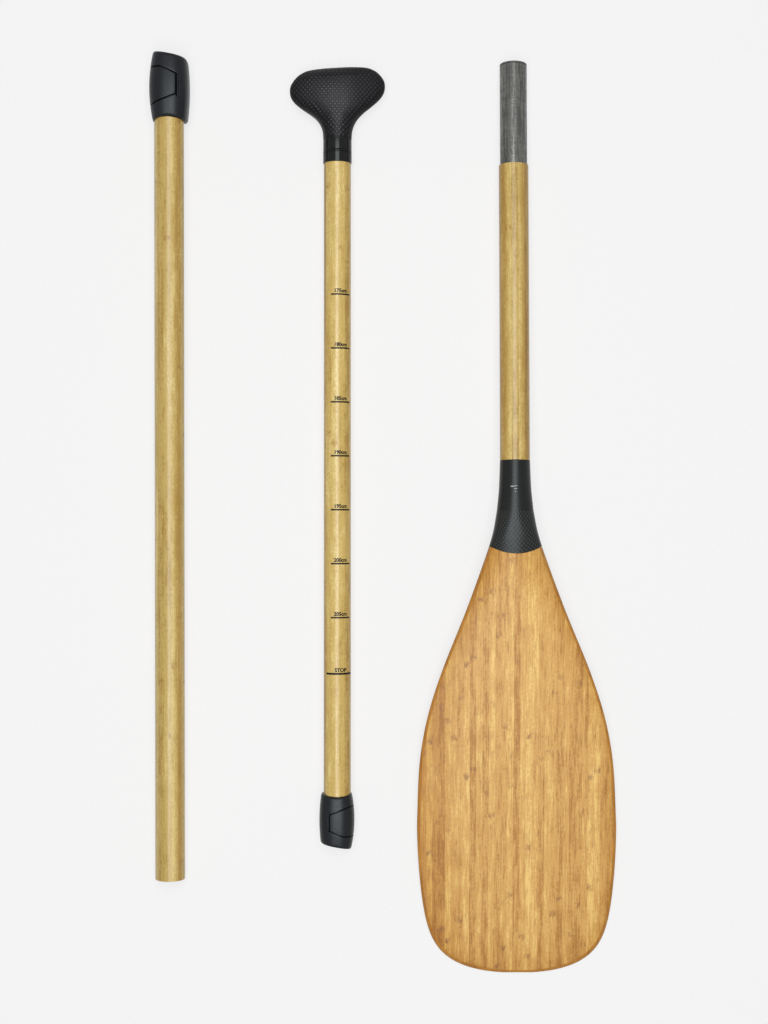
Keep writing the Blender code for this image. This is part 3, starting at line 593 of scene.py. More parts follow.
class Recipe(Graph):
    """A Geometry Nodes tree with named inputs, run once and kept as a plain mesh."""

    def __init__(self, name):
        super().__init__(bpy.data.node_groups.new(name, "GeometryNodeTree"))
        for way in ("INPUT", "OUTPUT"):
            self.tree.interface.new_socket("Geometry", in_out=way, socket_type="NodeSocketGeometry")
        self.skin = self.node("NodeGroupInput")
        self.values = {}

    def sizes(self, **values):
        """Named inputs with the values that the tree is run with; underscores stand for spaces."""
        for key, value in values.items():
            kind = "NodeSocketInt" if isinstance(value, int) else "NodeSocketFloat"
            socket = self.tree.interface.new_socket(key.replace("_", " "), in_out="INPUT", socket_type=kind)
            self.values[socket.identifier] = value
        return [self.skin.beside(number + 1) for number in range(len(values))]

    def run(self, geometry, look, slot, carrier=None):
        """Ends the tree, evaluates it on a copy of the carrier's mesh and puts the result on the handle section."""
        real = self.node("GeometryNodeRealizeInstances", {0: geometry})
        self.end("NodeGroupOutput", self.node("GeometryNodeSetMaterial", {0: real, "Material": LOOKS[look]}))
        name = self.tree.name
        made = link(name, carrier.data.copy() if carrier else bpy.data.meshes.new(name))
        modifier = made.modifiers.new("recipe", "NODES")
        modifier.node_group = self.tree
        for identifier, value in self.values.items():
            modifier[identifier] = value
        keep_modified(made)
        made.data.transform(PLACES["handle"])
        fit(made, "handle_section", slot)


# Materials

# The bamboo's grain: counts a metre across and along, a step on the seed, detail and roughness
BAMBOO_GRAIN = {
    "sway": ((30, 3), 0, 2, 0.5),
    "mottle": ((180, 60), 1, 3, 0.5),
    "speck": ((620, 330), 15, 2, 0.6),
    "fibre": ((330, 18), 2, 2, 0.5),
    "thread": ((760, 46), 3, 3, 0.6),
    "pore": ((840, 70), 7, 2, 0.6),
    "patch": ((60, 16), 9, 2, 0.5),
    "smudge": ((330, 190), 13, 3, 0.6),
}


class Look(Graph):
    """A material built from shader nodes."""

    def __init__(self, name, **settings):
        self.material = bpy.data.materials.new(name)
        self.material.use_nodes = True
        super().__init__(self.material.node_tree)
        self.set(**settings)

    def set(self, **settings):
        """Sets the shader's sockets by name, with spaces as underscores."""
        shader = self.tree.nodes["Principled BSDF"]
        for key, value in settings.items():
            self.plug(shader.inputs[key.replace("_", " ")], value)

    def mix(self, share, a, b, blend="MIX"):
        return self.node("ShaderNodeMix", {0: share, 6: a, 7: b}, 2, data_type="RGBA", blend_type=blend)

    def noise(self, place, scale, detail=2.0, roughness=0.5):
        inputs = {"Vector": place, "Scale": scale, "Detail": detail, "Roughness": roughness}
        return self.node("ShaderNodeTexNoise", inputs, "Fac")

    def random(self, *place):
        return self.node("ShaderNodeTexWhiteNoise", {"Vector": self.join(*place)}, "Value", noise_dimensions="3D")

    def bump(self, height, distance, strength):
        inputs = {"Height": height, "Distance": distance, "Strength": strength}
        self.set(Normal=self.node("ShaderNodeBump", inputs))

    def object_place(self):
        return self.node("ShaderNodeTexCoord", output="Object")

    def flat_place(self):
        """Places across and along, from above."""
        return self.split(self.object_place())[:2]

    def strip_place(self):
        """Places across and along, from the piece's own UV map."""
        return self.split(self.node("ShaderNodeUVMap", uv_map="strips"))[:2]

    def cloud(self, scale, detail=3.0, roughness=0.5):
        return self.noise(self.object_place(), scale, detail, roughness)

    def grain(self, across, along, per_metre, seed=0.0, detail=2.0, roughness=0.5):
        """Noise stretched along the wood, from its counts a metre across and along."""
        place = self.join(across * per_metre[0], along * per_metre[1], seed)
        return self.noise(place, 1.0, detail, roughness)


def bamboo(look, across, along, tones, strip_width, node_spacing, seed, weights, toast_and_shade):
    """Glued bamboo strips: each its own tone, with fibres, dark pores, staggered nodes, and places darkened by toast
    and painted shade.
    """
    deep, mid, pale, brown = tones
    grain = {name: look.grain(across, along, counts, seed + step, *settings)
             for name, (counts, step, *settings) in BAMBOO_GRAIN.items()}
    in_strips = (across + grain["sway"] * (strip_width * SWAY_SHARE)) / strip_width
    strip = in_strips.floor()
    grain["tone"] = look.random(strip, seed)
    grain["drift"] = look.grain(strip, along, (7.3, 6.0), seed)
    level = 0.5
    for name in ("tone", "drift", "mottle", "speck", "fibre", "thread"):
        level += grain[name].centred(weights[name])
    colour = look.mix(level.band(0.08, 0.50), deep, mid)
    colour = look.mix(level.band(0.50, 0.92), colour, pale)
    # Toast and painted shade: the tint multiplies the colour where this share is high.
    colour = look.mix(toast_and_shade, colour, look.mix(1.0, colour, TOAST_AND_SHADE_TINT, "MULTIPLY"))

    pore = grain["pore"].band(0.58, 0.72) * grain["patch"].band(0.38, 0.62)
    nodes, smudge = along / node_spacing + look.random(strip, seed + 11), grain["smudge"]
    reach = NODE_REACH / node_spacing
    ring = abs(nodes.fraction() + smudge.centred(2.6 * reach) - 0.5).band(reach, reach / 8)
    shown = look.random(strip, nodes.floor(), seed + 5).band(0.30, 0.70)
    seam = abs(in_strips.fraction() - 0.5).band(0.44, 0.5)
    for name, share in {"pore": pore, "node": ring * shown * smudge.band(0.38, 0.58), "seam": seam}.items():
        colour = look.mix(share * weights[name], colour, brown)
    look.set(Base_Color=colour, Roughness=grain["thread"].band(0.2, 0.8, 0.40, 0.54))
    look.bump(grain["thread"] - seam * 0.6, 0.00004, 0.4)
    return look


def shaft_bamboo(seed, radius, toast_and_shade_streaks, paleness):
    """Strips run along the tube; each streak of toast and painted shade on a side of the tube has a direction, a half
    width and a strength.
    """
    look = Look(f"shaft_bamboo_{seed}", Specular_IOR_Level=0.15, Coat_Weight=0.60, Coat_Roughness=0.24)
    across, along = look.strip_place()
    turn = across / radius
    toast_and_shade = 0.0
    # Each streak darkens a side of the tube as painted shade, and as toast.
    for middle_turn, half, strength in toast_and_shade_streaks:
        reach = math.radians(half)
        toast_and_shade += abs(turn - math.radians(middle_turn)).band(reach, reach * 0.3) * strength
    toast_and_shade *= look.grain(across, along, (90, 9), seed + 20.0, 3, 0.6).band(0.30, 0.62, 0.60, 1.0)
    tones = ((0.360, 0.218, 0.040), (0.560, 0.392, 0.112), (0.760, 0.600, 0.240), (0.330, 0.145, 0.026))
    tones = [[channel * paleness for channel in tone] for tone in tones]
    weights = {"tone": 0.50, "drift": 0.80, "mottle": 0.55, "speck": 0.62, "fibre": 0.50, "thread": 0.52,
               "pore": 0.38, "node": 0.62, "seam": 0.14}
    return bamboo(look, across, along, tones, SHAFT_STRIP, SHAFT_NODES, float(seed), weights, toast_and_shade)


def veneer_look(name):
    return Look(name, Specular_IOR_Level=0.15, Coat_Weight=0.2, Coat_Roughness=0.34)


def blade_bamboo(seed):
    """Strips run along the blade, with painted shade towards its margins, more on one side, and darker towards the tip
    and the neck; UV carries the share across.
    """
    look = veneer_look(f"blade_bamboo_{seed}")
    across, along = look.flat_place()
    side, level = look.strip_place()
    cloud = look.grain(across, along, (45, 11), seed + 20.0, 3, 0.6).centred(0.5)
    foot = level + cloud * 0.1
    # Painted shade towards the blade's margins, centred a little off the middle; then darker bands towards the tip and
    # the neck.
    toast_and_shade = (abs(side - MARGIN_SHADE_OFF_CENTRE) + cloud).band(0.62, 1.08) * 0.80
    toast_and_shade = toast_and_shade.or_more(foot.band(*TIP_DARKENING) * 0.55).or_more(foot.band(*NECK_DARKENING) * 0.35)
    tones = ((0.437, 0.204, 0.046), (0.656, 0.371, 0.108), (0.855, 0.570, 0.190), (0.252, 0.106, 0.040))
    weights = {"tone": 0.55, "drift": 0.62, "mottle": 0.55, "speck": 0.62, "fibre": 0.75, "thread": 1.10,
               "pore": 0.80, "node": 0.72, "seam": 0.14}
    return bamboo(look, across, along, tones, BLADE_STRIP, BLADE_NODES, float(seed), weights, toast_and_shade)


def rim_wood():
    """The veneers' edge, sanded round, in a darker tone that is partly its own and partly painted shade of the rounded
    edge.
    """
    look = veneer_look("blade_rim")
    across, along = look.flat_place()
    level = look.grain(across, along, (600, 16), 1.0, 3) * 0.6 + look.grain(across, along, (90, 24), 2.0) * 0.4
    look.set(Base_Color=look.mix(level.band(0.3, 0.7), (0.330, 0.130, 0.022), (0.520, 0.245, 0.048)),
             Roughness=level.band(0.3, 0.7, 0.42, 0.55))
    return look


def moulded_black():
    """Clamp plastic with a fine moulded grain."""
    look = Look("clamp_black", Specular_IOR_Level=0.28, Specular_Tint=(0.88, 0.95, 1.0))
    pores = look.cloud(1500, 2, 0.6)
    lines = look.grain(*look.flat_place(), (120, 900), 3.0, 2)
    look.set(Base_Color=look.mix(look.cloud(70), (0.0014, 0.0016, 0.0026), (0.0030, 0.0035, 0.0052)),
             Roughness=(pores * 0.6 + lines * 0.4).band(0.35, 0.65, 0.32, 0.44))
    look.bump(pores + lines, 0.00005, 0.6)
    return look


def cloudy(name, cloud, tones, rough, rub=0.0, **settings):
    """A finish whose colour and roughness follow a cloud, smoother by the rub where the palm rubs it."""
    look = Look(name, **settings)
    level = look.cloud(*cloud)
    roughness = level.band(0.3, 0.7, *rough)
    if rub:
        across, along = look.flat_place()
        sideways, endways = across - PALM_RUB[0], (along - PALM_RUB[1]) * PALM_RUB_STRETCH
        away = (sideways * sideways + endways * endways).root()
        roughness -= away.band(PALM_RUB[3], PALM_RUB[2]) * rub
    look.set(Base_Color=look.mix(level, *tones), Roughness=roughness)
    return look


def grip_black():
    look = cloudy("grip_black", (45,), ((0.0020, 0.0020, 0.0022), (0.0040, 0.0040, 0.0044)), (0.58, 0.66), 0.27,
                  Specular_IOR_Level=0.165, Specular_Tint=(0.94, 0.94, 1.0))
    look.bump(look.cloud(1600, 2), 0.00004, 0.4)
    return look


def gloss_black(name, shine, smoothest, roughest):
    """Smooth glossy skin with faint rings."""
    look = Look(name, Specular_IOR_Level=shine, Specular_Tint=(0.90, 0.96, 1.0))
    along = look.flat_place()[1]
    rings = look.noise(look.join(0.0, along * 800), 1.0)
    look.set(Base_Color=look.mix(look.cloud(90), (0.0028, 0.0030, 0.0022), (0.0064, 0.0068, 0.0054)),
             Roughness=rings.band(0.3, 0.7, smoothest, roughest))
    look.bump(rings, 0.00006, 0.35)
    return look


def twill_weave(name, tow_width, dark, light, gloss):
    """Weave whose light and dark cells touch at their corners, with painted shade at each tow's edges, under resin, on
    UV given in metres.
    """
    look = Look(name, Specular_IOR_Level=gloss, Specular_Tint=(0.86, 0.94, 1.0))

    def ridge(place):
        """1 along the middle of a tow, 0 at its edges."""
        off = place.fraction() - 0.5
        return 1.0 - off * off * 4.0

    a, b = (place / tow_width for place in look.strip_place())
    over = (a.floor() + b.floor()) % 2.0
    crown = ridge(a) * ridge(b)
    lengthways, crossways = look.grain(a, b, (9, 0.8)), look.grain(a, b, (0.8, 9), 5.0)
    threads = look.node("ShaderNodeMix", {0: over, 2: crossways, 3: lengthways}, data_type="FLOAT")
    # The colour darkens towards each tow's edges as painted shade between the tows; the cells and the threads are the
    # weave's own pattern.
    shade = crown * 0.30 + threads * 0.20 + over * 0.60 - 0.05
    look.set(Base_Color=look.mix(shade, dark, light), Roughness=threads.band(0.3, 0.7, 0.24, 0.32))
    look.bump(crown, 0.00008, 0.4)
    return look


def fibre_tube():
    """Grey fibre tube, ground to size, with the cloth's weave and long streaks showing."""
    look = Look("ferrule_fibre", Specular_IOR_Level=0.80, Specular_Tint=(1.0, 1.0, 0.96), Coat_Weight=0.55,
                Coat_Roughness=0.36)
    u, v = look.strip_place()
    cloth = look.grain(u, v, (150, 110), 0.0, 4, 0.62)
    blots = look.grain(u, v, (420, 300), 4.0, 3, 0.6)
    streaks = look.grain(u, v, (680, 26), 8.0, 3, 0.6)
    rings = look.grain(u, v, (8, 620), 2.0)
    level = 0.5 + cloth.centred(0.60) + blots.centred(0.60) + streaks.centred(2.00) + rings.centred(0.45)
    look.set(Base_Color=look.mix(level.band(0.38, 0.64), (0.0, 0.0, 0.0), (0.072, 0.073, 0.062)),
             Roughness=level.band(0.38, 0.64, 0.62, 0.26))
    look.bump(level, 0.00006, 0.4)
    return look


def ink():
    look = Look("mark_ink", Roughness=0.45, Specular_IOR_Level=0.15)
    look.set(Base_Color=look.mix(look.cloud(900, 3, 0.6), (0.008, 0.007, 0.005), (0.022, 0.018, 0.013)))
    return look


def make_looks():
    looks = {
        # The shafts' streaks below paint shade on their sides as well as toast.
        "mid_bamboo": shaft_bamboo(1, SHAFT_RADIUS, ((46, 24, 0.75),), 0.91),
        "handle_bamboo": shaft_bamboo(2, INNER_RADIUS, ((34, 18, 0.20),), 1.02),
        "upper_bamboo": shaft_bamboo(3, SHAFT_RADIUS, ((44, 34, 1.00), (146, 34, 1.00)), 0.97),
        "front_bamboo": blade_bamboo(4),
        "back_bamboo": blade_bamboo(5),
        "rim": rim_wood(),
        "clamp": moulded_black(),
        "grip": grip_black(),
        "stud": cloudy("grip_stud_black", (140,), ((0.003, 0.003, 0.0034), (0.007, 0.007, 0.008)), (0.56, 0.64), 0.36,
                       Specular_IOR_Level=0.31, Specular_Tint=(0.92, 0.92, 1.0)),
        "wrap": gloss_black("wrap_black", 0.26, 0.30, 0.40),
        "collar": gloss_black("collar_black", 0.21, 0.13, 0.20),
        "pucker": cloudy("tape_pucker", (1200, 2), ((0.008, 0.008, 0.008), (0.020, 0.021, 0.022)), (0.10, 0.22),
                         Specular_IOR_Level=0.6, Coat_Weight=0.30, Coat_Roughness=0.08),
        "sleeve": twill_weave("sleeve_twill", 0.00182, (0.0005, 0.0005, 0.0005), (0.040, 0.042, 0.038), 0.19),
        "liner": twill_weave("liner_weave", 0.0024, (0.05, 0.05, 0.05), (0.14, 0.14, 0.14), 0.2),
        "ferrule": fibre_tube(),
        "ink": ink(),
        "steel": cloudy("fastener_steel", (700, 3, 0.6), ((0.50, 0.50, 0.51), (0.64, 0.64, 0.65)), (0.22, 0.38),
                        Metallic=1.0),
        "plug": cloudy("plug_plastic_look", (1800, 2), ((0.055, 0.055, 0.053), (0.085, 0.085, 0.082)), (0.45, 0.62)),
    }
    return {name: look.material for name, look in looks.items()}


LOOKS = make_looks()


# Tubes

def make_tubes():
    wall_inner, handle_inner = SHAFT_RADIUS - SHAFT_WALL, INNER_RADIUS - SHAFT_WALL
    mid_ends = (-MID_EXPOSED_LENGTH, CLAMP_SEAT)
    handle_ends = (-HANDLE_EXPOSED_LENGTH - CLAMP_SEAT * LOWER_CLAMP_SIZE, -BUTT_GAP)
    core_ends = (WRAP_STEP, SHAFT_ABOVE_NECK - CAP_THICKNESS - BUTT_GAP)
    upper_ends = (WRAP_LENGTH + BUTT_GAP, SHAFT_ABOVE_NECK - FERRULE_LENGTH)
    strips = [f"mid_shaft_strip_{number + 1}" for number in range(MID_STRIPS)]
    put("mid_tube", tube(SHAFT_RADIUS, wall_inner, *mid_ends), "mid", "mid_bamboo", "shaft_bamboo", *strips)
    put("mid_liner", tube(wall_inner - GLUE_GAP, BORE_RADIUS, *mid_ends), "mid", "liner", "fibre", "mid_shaft_liner")
    put("handle_tube", tube(INNER_RADIUS, handle_inner, *handle_ends), "handle", "handle_bamboo", "shaft_bamboo",
        "handle_shaft_bamboo")
    put("handle_liner", tube(handle_inner - GLUE_GAP, CORE_BORE, *handle_ends), "handle", "liner", "fibre",
        "handle_shaft_liner")
    put("ferrule", tube(INNER_RADIUS, CORE_BORE, *core_ends), "blade", "ferrule", "fibre", "blade_shaft_core")
    put("blade_tube", tube(SHAFT_RADIUS, INNER_RADIUS + GLUE_GAP, *upper_ends), "blade", "upper_bamboo",
        "shaft_bamboo", "blade_shaft_bamboo")


make_tubes()


# Length marks

def mark_bars(name, count, first, arc, width):
    """Printed bars part of the way round the handle tube, one pitch apart."""
    recipe = Recipe(name)
    amount, pitch, radius, turn, middle_turn, bar_width, depth = recipe.sizes(
        Bars=count, Pitch=MARK_PITCH, Tube_Radius=INNER_RADIUS, Turn=arc[1] - arc[0], Middle_Turn=sum(arc) / 2,
        Bar_Width=width, Ink_Depth=INK_DEPTH)
    size = recipe.join(turn, bar_width, depth)
    flat = recipe.node("GeometryNodeMeshCube", {"Size": size, "Vertices X": MARK_BAR_VERTICES})
    x, y, z = recipe.split(recipe.node("GeometryNodeInputPosition"))
    angle, out = middle_turn - x, radius + z
    bent = recipe.join(out * angle.cosine(), y, out * angle.sine())
    bar = recipe.node("GeometryNodeSetPosition", {"Geometry": flat, "Position": bent})
    line = {"Count": amount, "Start Location": (0, -first, 0), "Offset": recipe.join(0.0, pitch * -1.0)}
    places = recipe.node("GeometryNodeMeshLine", line)
    bars = recipe.node("GeometryNodeInstanceOnPoints", {"Points": places, "Instance": bar})
    recipe.run(bars, "ink", "shaft_bamboo")


def mark_words(word, y):
    """A printed word bent round the handle tube, upright towards the grip."""
    curve = bpy.data.curves.new("mark_word", "FONT")
    curve.body = word
    curve.size = MARK_TEXT_SIZE
    curve.align_x = "CENTER"
    curve.extrude = INK_DEPTH / 2
    curve.offset = MARK_TEXT_BOLDNESS
    curve.resolution_u = MARK_TEXT_CURVES  # finer curves lose the bowls of 8 and 9 at this boldness
    holder = link("mark_word", curve)
    mesh = evaluated_mesh(holder)
    bpy.data.objects.remove(holder)
    source = bmesh.new()
    source.from_mesh(mesh)
    bpy.data.meshes.remove(mesh)
    bmesh.ops.remove_doubles(source, verts=source.verts, dist=WELD_DISTANCE)
    half = MARK_TEXT_SIZE * len(word) / 2
    for x in steps(-half, half, MARK_CUTS_PER_LETTER * len(word)):
        whole = source.verts[:] + source.edges[:] + source.faces[:]
        bmesh.ops.bisect_plane(source, geom=whole, plane_co=(x, 0, 0), plane_no=(1, 0, 0), dist=WELD_DISTANCE)
    for vert in source.verts:
        across, up, out = vert.co
        vert.co = spot(MARK_TEXT_ANGLE - across / INNER_RADIUS, INNER_RADIUS + out, y + up)
    return source


def make_marks():
    stop = MARK_FIRST + MARK_PITCH * (len(MARK_LENGTHS) - 1) + STOP_BELOW_LAST
    mark_bars("length_marks", len(MARK_LENGTHS), MARK_FIRST, MARK_ARC, MARK_LINE_WIDTH)
    mark_bars("stop_mark", 1, stop, STOP_ARC, STOP_LINE_WIDTH)
    words = [(f"{length}cm", -MARK_FIRST - MARK_PITCH * i) for i, length in enumerate(MARK_LENGTHS)]
    for word, y in words + [("STOP", -stop)]:
        source = mark_words(word, y + MARK_LINE_WIDTH / 2 + MARK_TEXT_LIFT)
        put(f"mark_{word.lower()}", source, "handle", "ink", "shaft_bamboo")


make_marks()


# Clamps

class Clamp:
    """A lever clamp's shape in its own frame, +Y from the tube to the free end."""

    def __init__(self, tube_radius, size):
        self.size = size
        self.tube_radius = tube_radius
        self.bore = tube_radius + SLIDING_GAP
        self.length = CLAMP_LENGTH * size
        self.boss = PIVOT_BOSS_RADIUS * size
        self.recess = self.bore + LEVER_SEAT_WALL * size
        pivot_reach = self.recess + PIVOT_WALL * size + self.boss
        bolt_reach = self.bore + (BOLT_POCKET_WALL + BOLT_HEAD_RADIUS) * size + LEVER_GAP
        self.pivot = pivot_reach * direction(PIVOT_ANGLE)
        self.bolt_angle = PIVOT_ANGLE + math.acos(bolt_reach / pivot_reach)
        self.bolt_foot = bolt_reach * direction(self.bolt_angle)
        self.bolt_way = direction(self.bolt_angle + math.pi / 2)
        self.bolt_y = sum(LEVER_ROOT_HEIGHTS) / 2 * size
        self.front = self.reach(math.pi / 2, self.length / 2)

    def end(self, x):
        """Height of the sloping free end above a place across the clamp."""
        return self.length - CLAMP_END_SLOPE * x

    def foot(self, angle):
        """Height of the lower rim, which arches over the tube at the front and the back."""
        return -CLAMP_FOOT_ARCH * self.size * math.cos(2 * angle)

    def reach(self, angle, y, kept=1.0):
        """Distance of the outer skin from the axis, keeping a share of the walls."""
        c, s = math.cos(angle), math.sin(angle)
        power = CLAMP_SQUARENESS if s >= 0 else CLAMP_BACK_SQUARENESS
        bulge = ((y - self.length / 2) / (self.length / 2)) ** 2
        sides = ("right" if c >= 0 else "left", "front" if s >= 0 else "back")
        walls = [(CLAMP_WALLS[side] - CLAMP_BARRELS[side] * bulge) * self.size * kept for side in sides]
        across, up = abs(c) / (self.tube_radius + walls[0]), abs(s) / (self.tube_radius + walls[1])
        return (across**power + up**power) ** (-1 / power)

    def across(self, angle):
        """Place across the clamp of a direction, at the clamp's mid-height."""
        return self.reach(angle, self.length / 2) * math.cos(angle)

    def tip_angle(self, tip_x):
        return math.atan2(self.front, tip_x * self.size)

    def lever_edges(self, x):
        """Heights of the lever's lower and upper edge at a place across the clamp, or of its pocket's."""
        k = self.size
        taper_from, tip = LEVER_TAPER_FROM_X * k, LEVER_TIP_X * k
        share = min(max((x - taper_from) / (tip - taper_from), 0.0), 1.0)
        low, low_tip = LEVER_ROOT_HEIGHTS[0], LEVER_TIP_HEIGHTS[0]
        bottom = (low + (low_tip - low) * share) * k
        if x > tip:
            bottom -= LEVER_POCKET_DROP * k
        high, high_tip = LEVER_ROOT_HEIGHTS[1], LEVER_TIP_HEIGHTS[1]
        slope = (high - high_tip) / (LEVER_TIP_X - LEVER_TOP_BEND_X)
        past = x - LEVER_TOP_BEND_X * k
        bent = (past + math.hypot(past, LEVER_TOP_BEND_RADIUS * k)) / 2
        return bottom, high * k - slope * bent


def clamp_columns(clamp):
    """Directions round the clamp, each with how deep the recess is there; crowded at its two ends."""
    tip, pocket = clamp.tip_angle(LEVER_TIP_X), clamp.tip_angle(LEVER_POCKET_X)
    bevel, wall = GROOVE_BEVEL * clamp.size / clamp.front, GROOVE_WALL * clamp.size / clamp.front
    columns = [(pocket - bevel, 0.0), (pocket - bevel / 3, BEVEL_DEPTH), (pocket, BRINK_DEPTH)]
    for angle in steps(pocket + wall, PIVOT_ANGLE - wall, 170):
        scoop = smooth_step((angle - pocket) / (tip - pocket))
        columns.append((angle, SCOOP_DEPTH_SHARE + (1 - SCOOP_DEPTH_SHARE) * scoop))
    columns += [(PIVOT_ANGLE, BRINK_DEPTH), (PIVOT_ANGLE + bevel / 3, BEVEL_DEPTH)]
    columns += [(angle, 0.0) for angle in steps(PIVOT_ANGLE + bevel, pocket - bevel + 2 * math.pi, 110)[:-1]]
    return columns


def clamp_rows(clamp, angle):
    """Heights up the clamp at a direction, each with its share of the walls and its depth in the recess."""
    k = clamp.size
    x = clamp.across(angle)
    low, high = clamp.lever_edges(x)
    low, high = low - GROOVE * k, high + GROOVE * k
    bevel, wall = GROOVE_BEVEL * k, GROOVE_WALL * k
    foot, end = clamp.foot(angle), clamp.end(x)
    rounding = [(CLAMP_RIM_SHARE + (1 - CLAMP_RIM_SHARE) * math.sin(a), CLAMP_END_ROUNDING * k * (1 - math.cos(a)))
                for a in steps(0, math.pi / 2, 8)]
    first, last = foot + rounding[-1][1], end - rounding[-1][1]
    rows = [(foot + lift, kept, 0.0) for kept, lift in rounding]
    rows += [(y, 1.0, 0.0) for y in steps(first, low - bevel, 14)[1:]]
    rows += [(low - bevel / 3, 1.0, BEVEL_DEPTH), (low, 1.0, BRINK_DEPTH)]
    rows += [(y, 1.0, 1.0) for y in steps(low + wall, high - wall, 30)]
    rows += [(high, 1.0, BRINK_DEPTH), (high + bevel / 3, 1.0, BEVEL_DEPTH)]
    rows += [(y, 1.0, 0.0) for y in steps(high + bevel, last, 14)[:-1]]
    rows += [(end - lift, kept, 0.0) for kept, lift in reversed(rounding)]
    return rows


def clamp_skin(clamp):
    """Outer skin with the lever's recess and finger scoop sunk into it."""
    columns = []
    for angle, column_depth in clamp_columns(clamp):
        column = []
        for y, kept, row_depth in clamp_rows(clamp, angle):
            radius = clamp.reach(angle, y, kept)
            column.append(spot(angle, radius + (clamp.recess - radius) * column_depth * row_depth, y))
        columns.append(column)
    return loft([list(ring) for ring in zip(*columns)])


def lever_plate(clamp):
    """The lever's plate with its outer edges rounded over."""
    round_over = LEVER_ROUND_OVER * clamp.size
    tip, root = clamp.tip_angle(LEVER_TIP_X) * clamp.front, LEVER_ROOT_ANGLE * clamp.front
    ease = [1 - math.cos(a) for a in steps(0, math.pi / 2, 6)]

    def spread(low, high, count):
        """Places from low to high, crowded at both ends for the rounded edges."""
        near = [low + share * round_over for share in ease]
        far = [high - share * round_over for share in reversed(ease)]
        return near + steps(low + round_over, high - round_over, count)[1:-1] + far

    outer, inner = [], []
    for arc in spread(tip, root, 110):
        angle = arc / clamp.front
        low, high = clamp.lever_edges(min(clamp.across(angle), LEVER_TIP_X * clamp.size))
        heights = spread(low, high, 50)
        drops = []
        for y in heights:
            depth = max(1 - min(y - low, high - y, arc - tip) / round_over, 0.0)
            drops.append(round_over * (1 - math.sqrt(max(1 - depth**2, 0.0))))
        outer.append([spot(angle, clamp.reach(angle, y) - drop, y) for y, drop in zip(heights, drops)])
        inner.append([spot(angle, clamp.recess + LEVER_GAP, y) for y in heights])
    return sheet(outer, inner)


def pivot_pocket(clamp):
    """Outline of the pocket round the pivot boss, open for the lever to swing into."""
    start, end = POCKET_MOUTH
    boss = [clamp.pivot + direction(angle) * (clamp.boss + LEVER_GAP) for angle in steps(end, start + 2 * math.pi, 28)]
    return boss + [clamp.pivot + direction(angle) * clamp.length for angle in steps(start, end, 2)]


def make_clamp(prefix, clamp, place, body, lever_body):
    k, far = clamp.size, clamp.length
    low, high = (height * k for height in LEVER_ROOT_HEIGHTS)
    shell = add_piece(f"{prefix}_shell", clamp_skin(clamp), "clamp")
    combine(shell, loft([circle(clamp.bore, -far), circle(clamp.bore, 2 * far)]))
    slit_way = direction(clamp.bolt_angle)
    half_slit = clamp.bolt_way * SLIT_HALF_WIDTH * k
    foot = slit_way * (clamp.bore - 2 * BUSH_WALL * k)
    slit = (foot - half_slit, slit_way * far - half_slit, slit_way * far + half_slit, foot + half_slit)
    combine(shell, prism(slit, SLIT_START * k, 2 * far))
    margin = (GROOVE + BUTT_GAP) * k
    combine(shell, prism(pivot_pocket(clamp), low - margin, high + margin))
    middle_height = Vector((0, clamp.bolt_y, 0))
    bolt_line = clamp.bolt_foot + middle_height
    ear_face = bolt_line + clamp.bolt_way * EAR_THICKNESS * k
    beyond = clamp.bolt_way * far
    combine(shell, rod_along(clamp.pivot + middle_height, bolt_line + beyond, BOLT_RADIUS * k + LEVER_GAP))
    combine(shell, rod_along(ear_face, ear_face + beyond, BOLT_HEAD_RADIUS * k + LEVER_GAP))

    lever = add_piece(f"{prefix}_arm", lever_plate(clamp), "clamp")
    pins = ((low, high, clamp.boss, "UNION"), (-far, 2 * far, PIVOT_PIN_RADIUS * k + SLIDING_GAP, "DIFFERENCE"))
    for start, end, radius, operation in pins:
        ends = [clamp.pivot + Vector((0, y, 0)) for y in (start, end)]
        combine(lever, rod_along(*ends, radius), operation)
    opened = clamp.bolt_angle + math.pi / 2 - LEVER_SWING / 2
    away, aside = direction(opened) * far, direction(opened + math.pi / 2) * far
    slot = [clamp.pivot - aside, clamp.pivot - aside + away, clamp.pivot + aside + away, clamp.pivot + aside]
    slot_half = BOLT_RADIUS * k + 2 * LEVER_GAP
    combine(lever, prism(slot, clamp.bolt_y - slot_half, clamp.bolt_y + slot_half))

    for piece, rides_on, node in ((shell, body, "body"), (lever, lever_body, "lever")):
        settle(piece, place)
        fit(piece, rides_on, "clamp_plastic", f"{prefix}_{node}")
    for part in ("pivot_pin", "washer", "bolt"):
        paint(f"{prefix}_{part}", "steel")
    paint(f"{prefix}_bush", "plug")


make_clamp("mid_clamp", Clamp(SHAFT_RADIUS, 1.0), PLACES["mid"], "mid_section", "mid_lever")
make_clamp("lower_clamp", Clamp(INNER_RADIUS, LOWER_CLAMP_SIZE), PLACES["lower_clamp"], "lower_clamp", "lower_lever")


# Grip

def grip_point(height, turn):
    """A point of the grip's skin; the height is a share, the turn runs evenly round the section."""
    joined_at, *joined = GRIP_BODY[-1]
    reaches = (GRIP_HALF_WIDTH, GRIP_HALF_DEPTH)
    beyond = [reach - GRIP_NECK_RADIUS for reach in reaches]
    if height <= joined_at:
        halves = [GRIP_NECK_RADIUS + beyond[i] * through(GRIP_BODY, height, i + 1) for i in (0, 1)]
    else:
        crown = [(joined_at, *(GRIP_NECK_RADIUS + beyond[i] * joined[i] for i in (0, 1)))]
        crown += [(h, w * reaches[0], d * reaches[1]) for h, w, d in GRIP_CROWN]
        halves = [through(crown, height, i + 1) for i in (0, 1)]
    squareness = GRIP_SQUARENESS + GRIP_SQUARER * smooth_step(height)
    x, z = (half * math.copysign(abs(way) ** (2 / squareness), way)
            for half, way in zip(halves, (math.cos(turn), math.sin(turn))))
    tilt = GRIP_TILT * smooth_step((height - GRIP_TILT_FROM) / (GRIP_TILT_FULL - GRIP_TILT_FROM))
    return Vector((x, height * GRIP_HEIGHT + tilt * x, z))


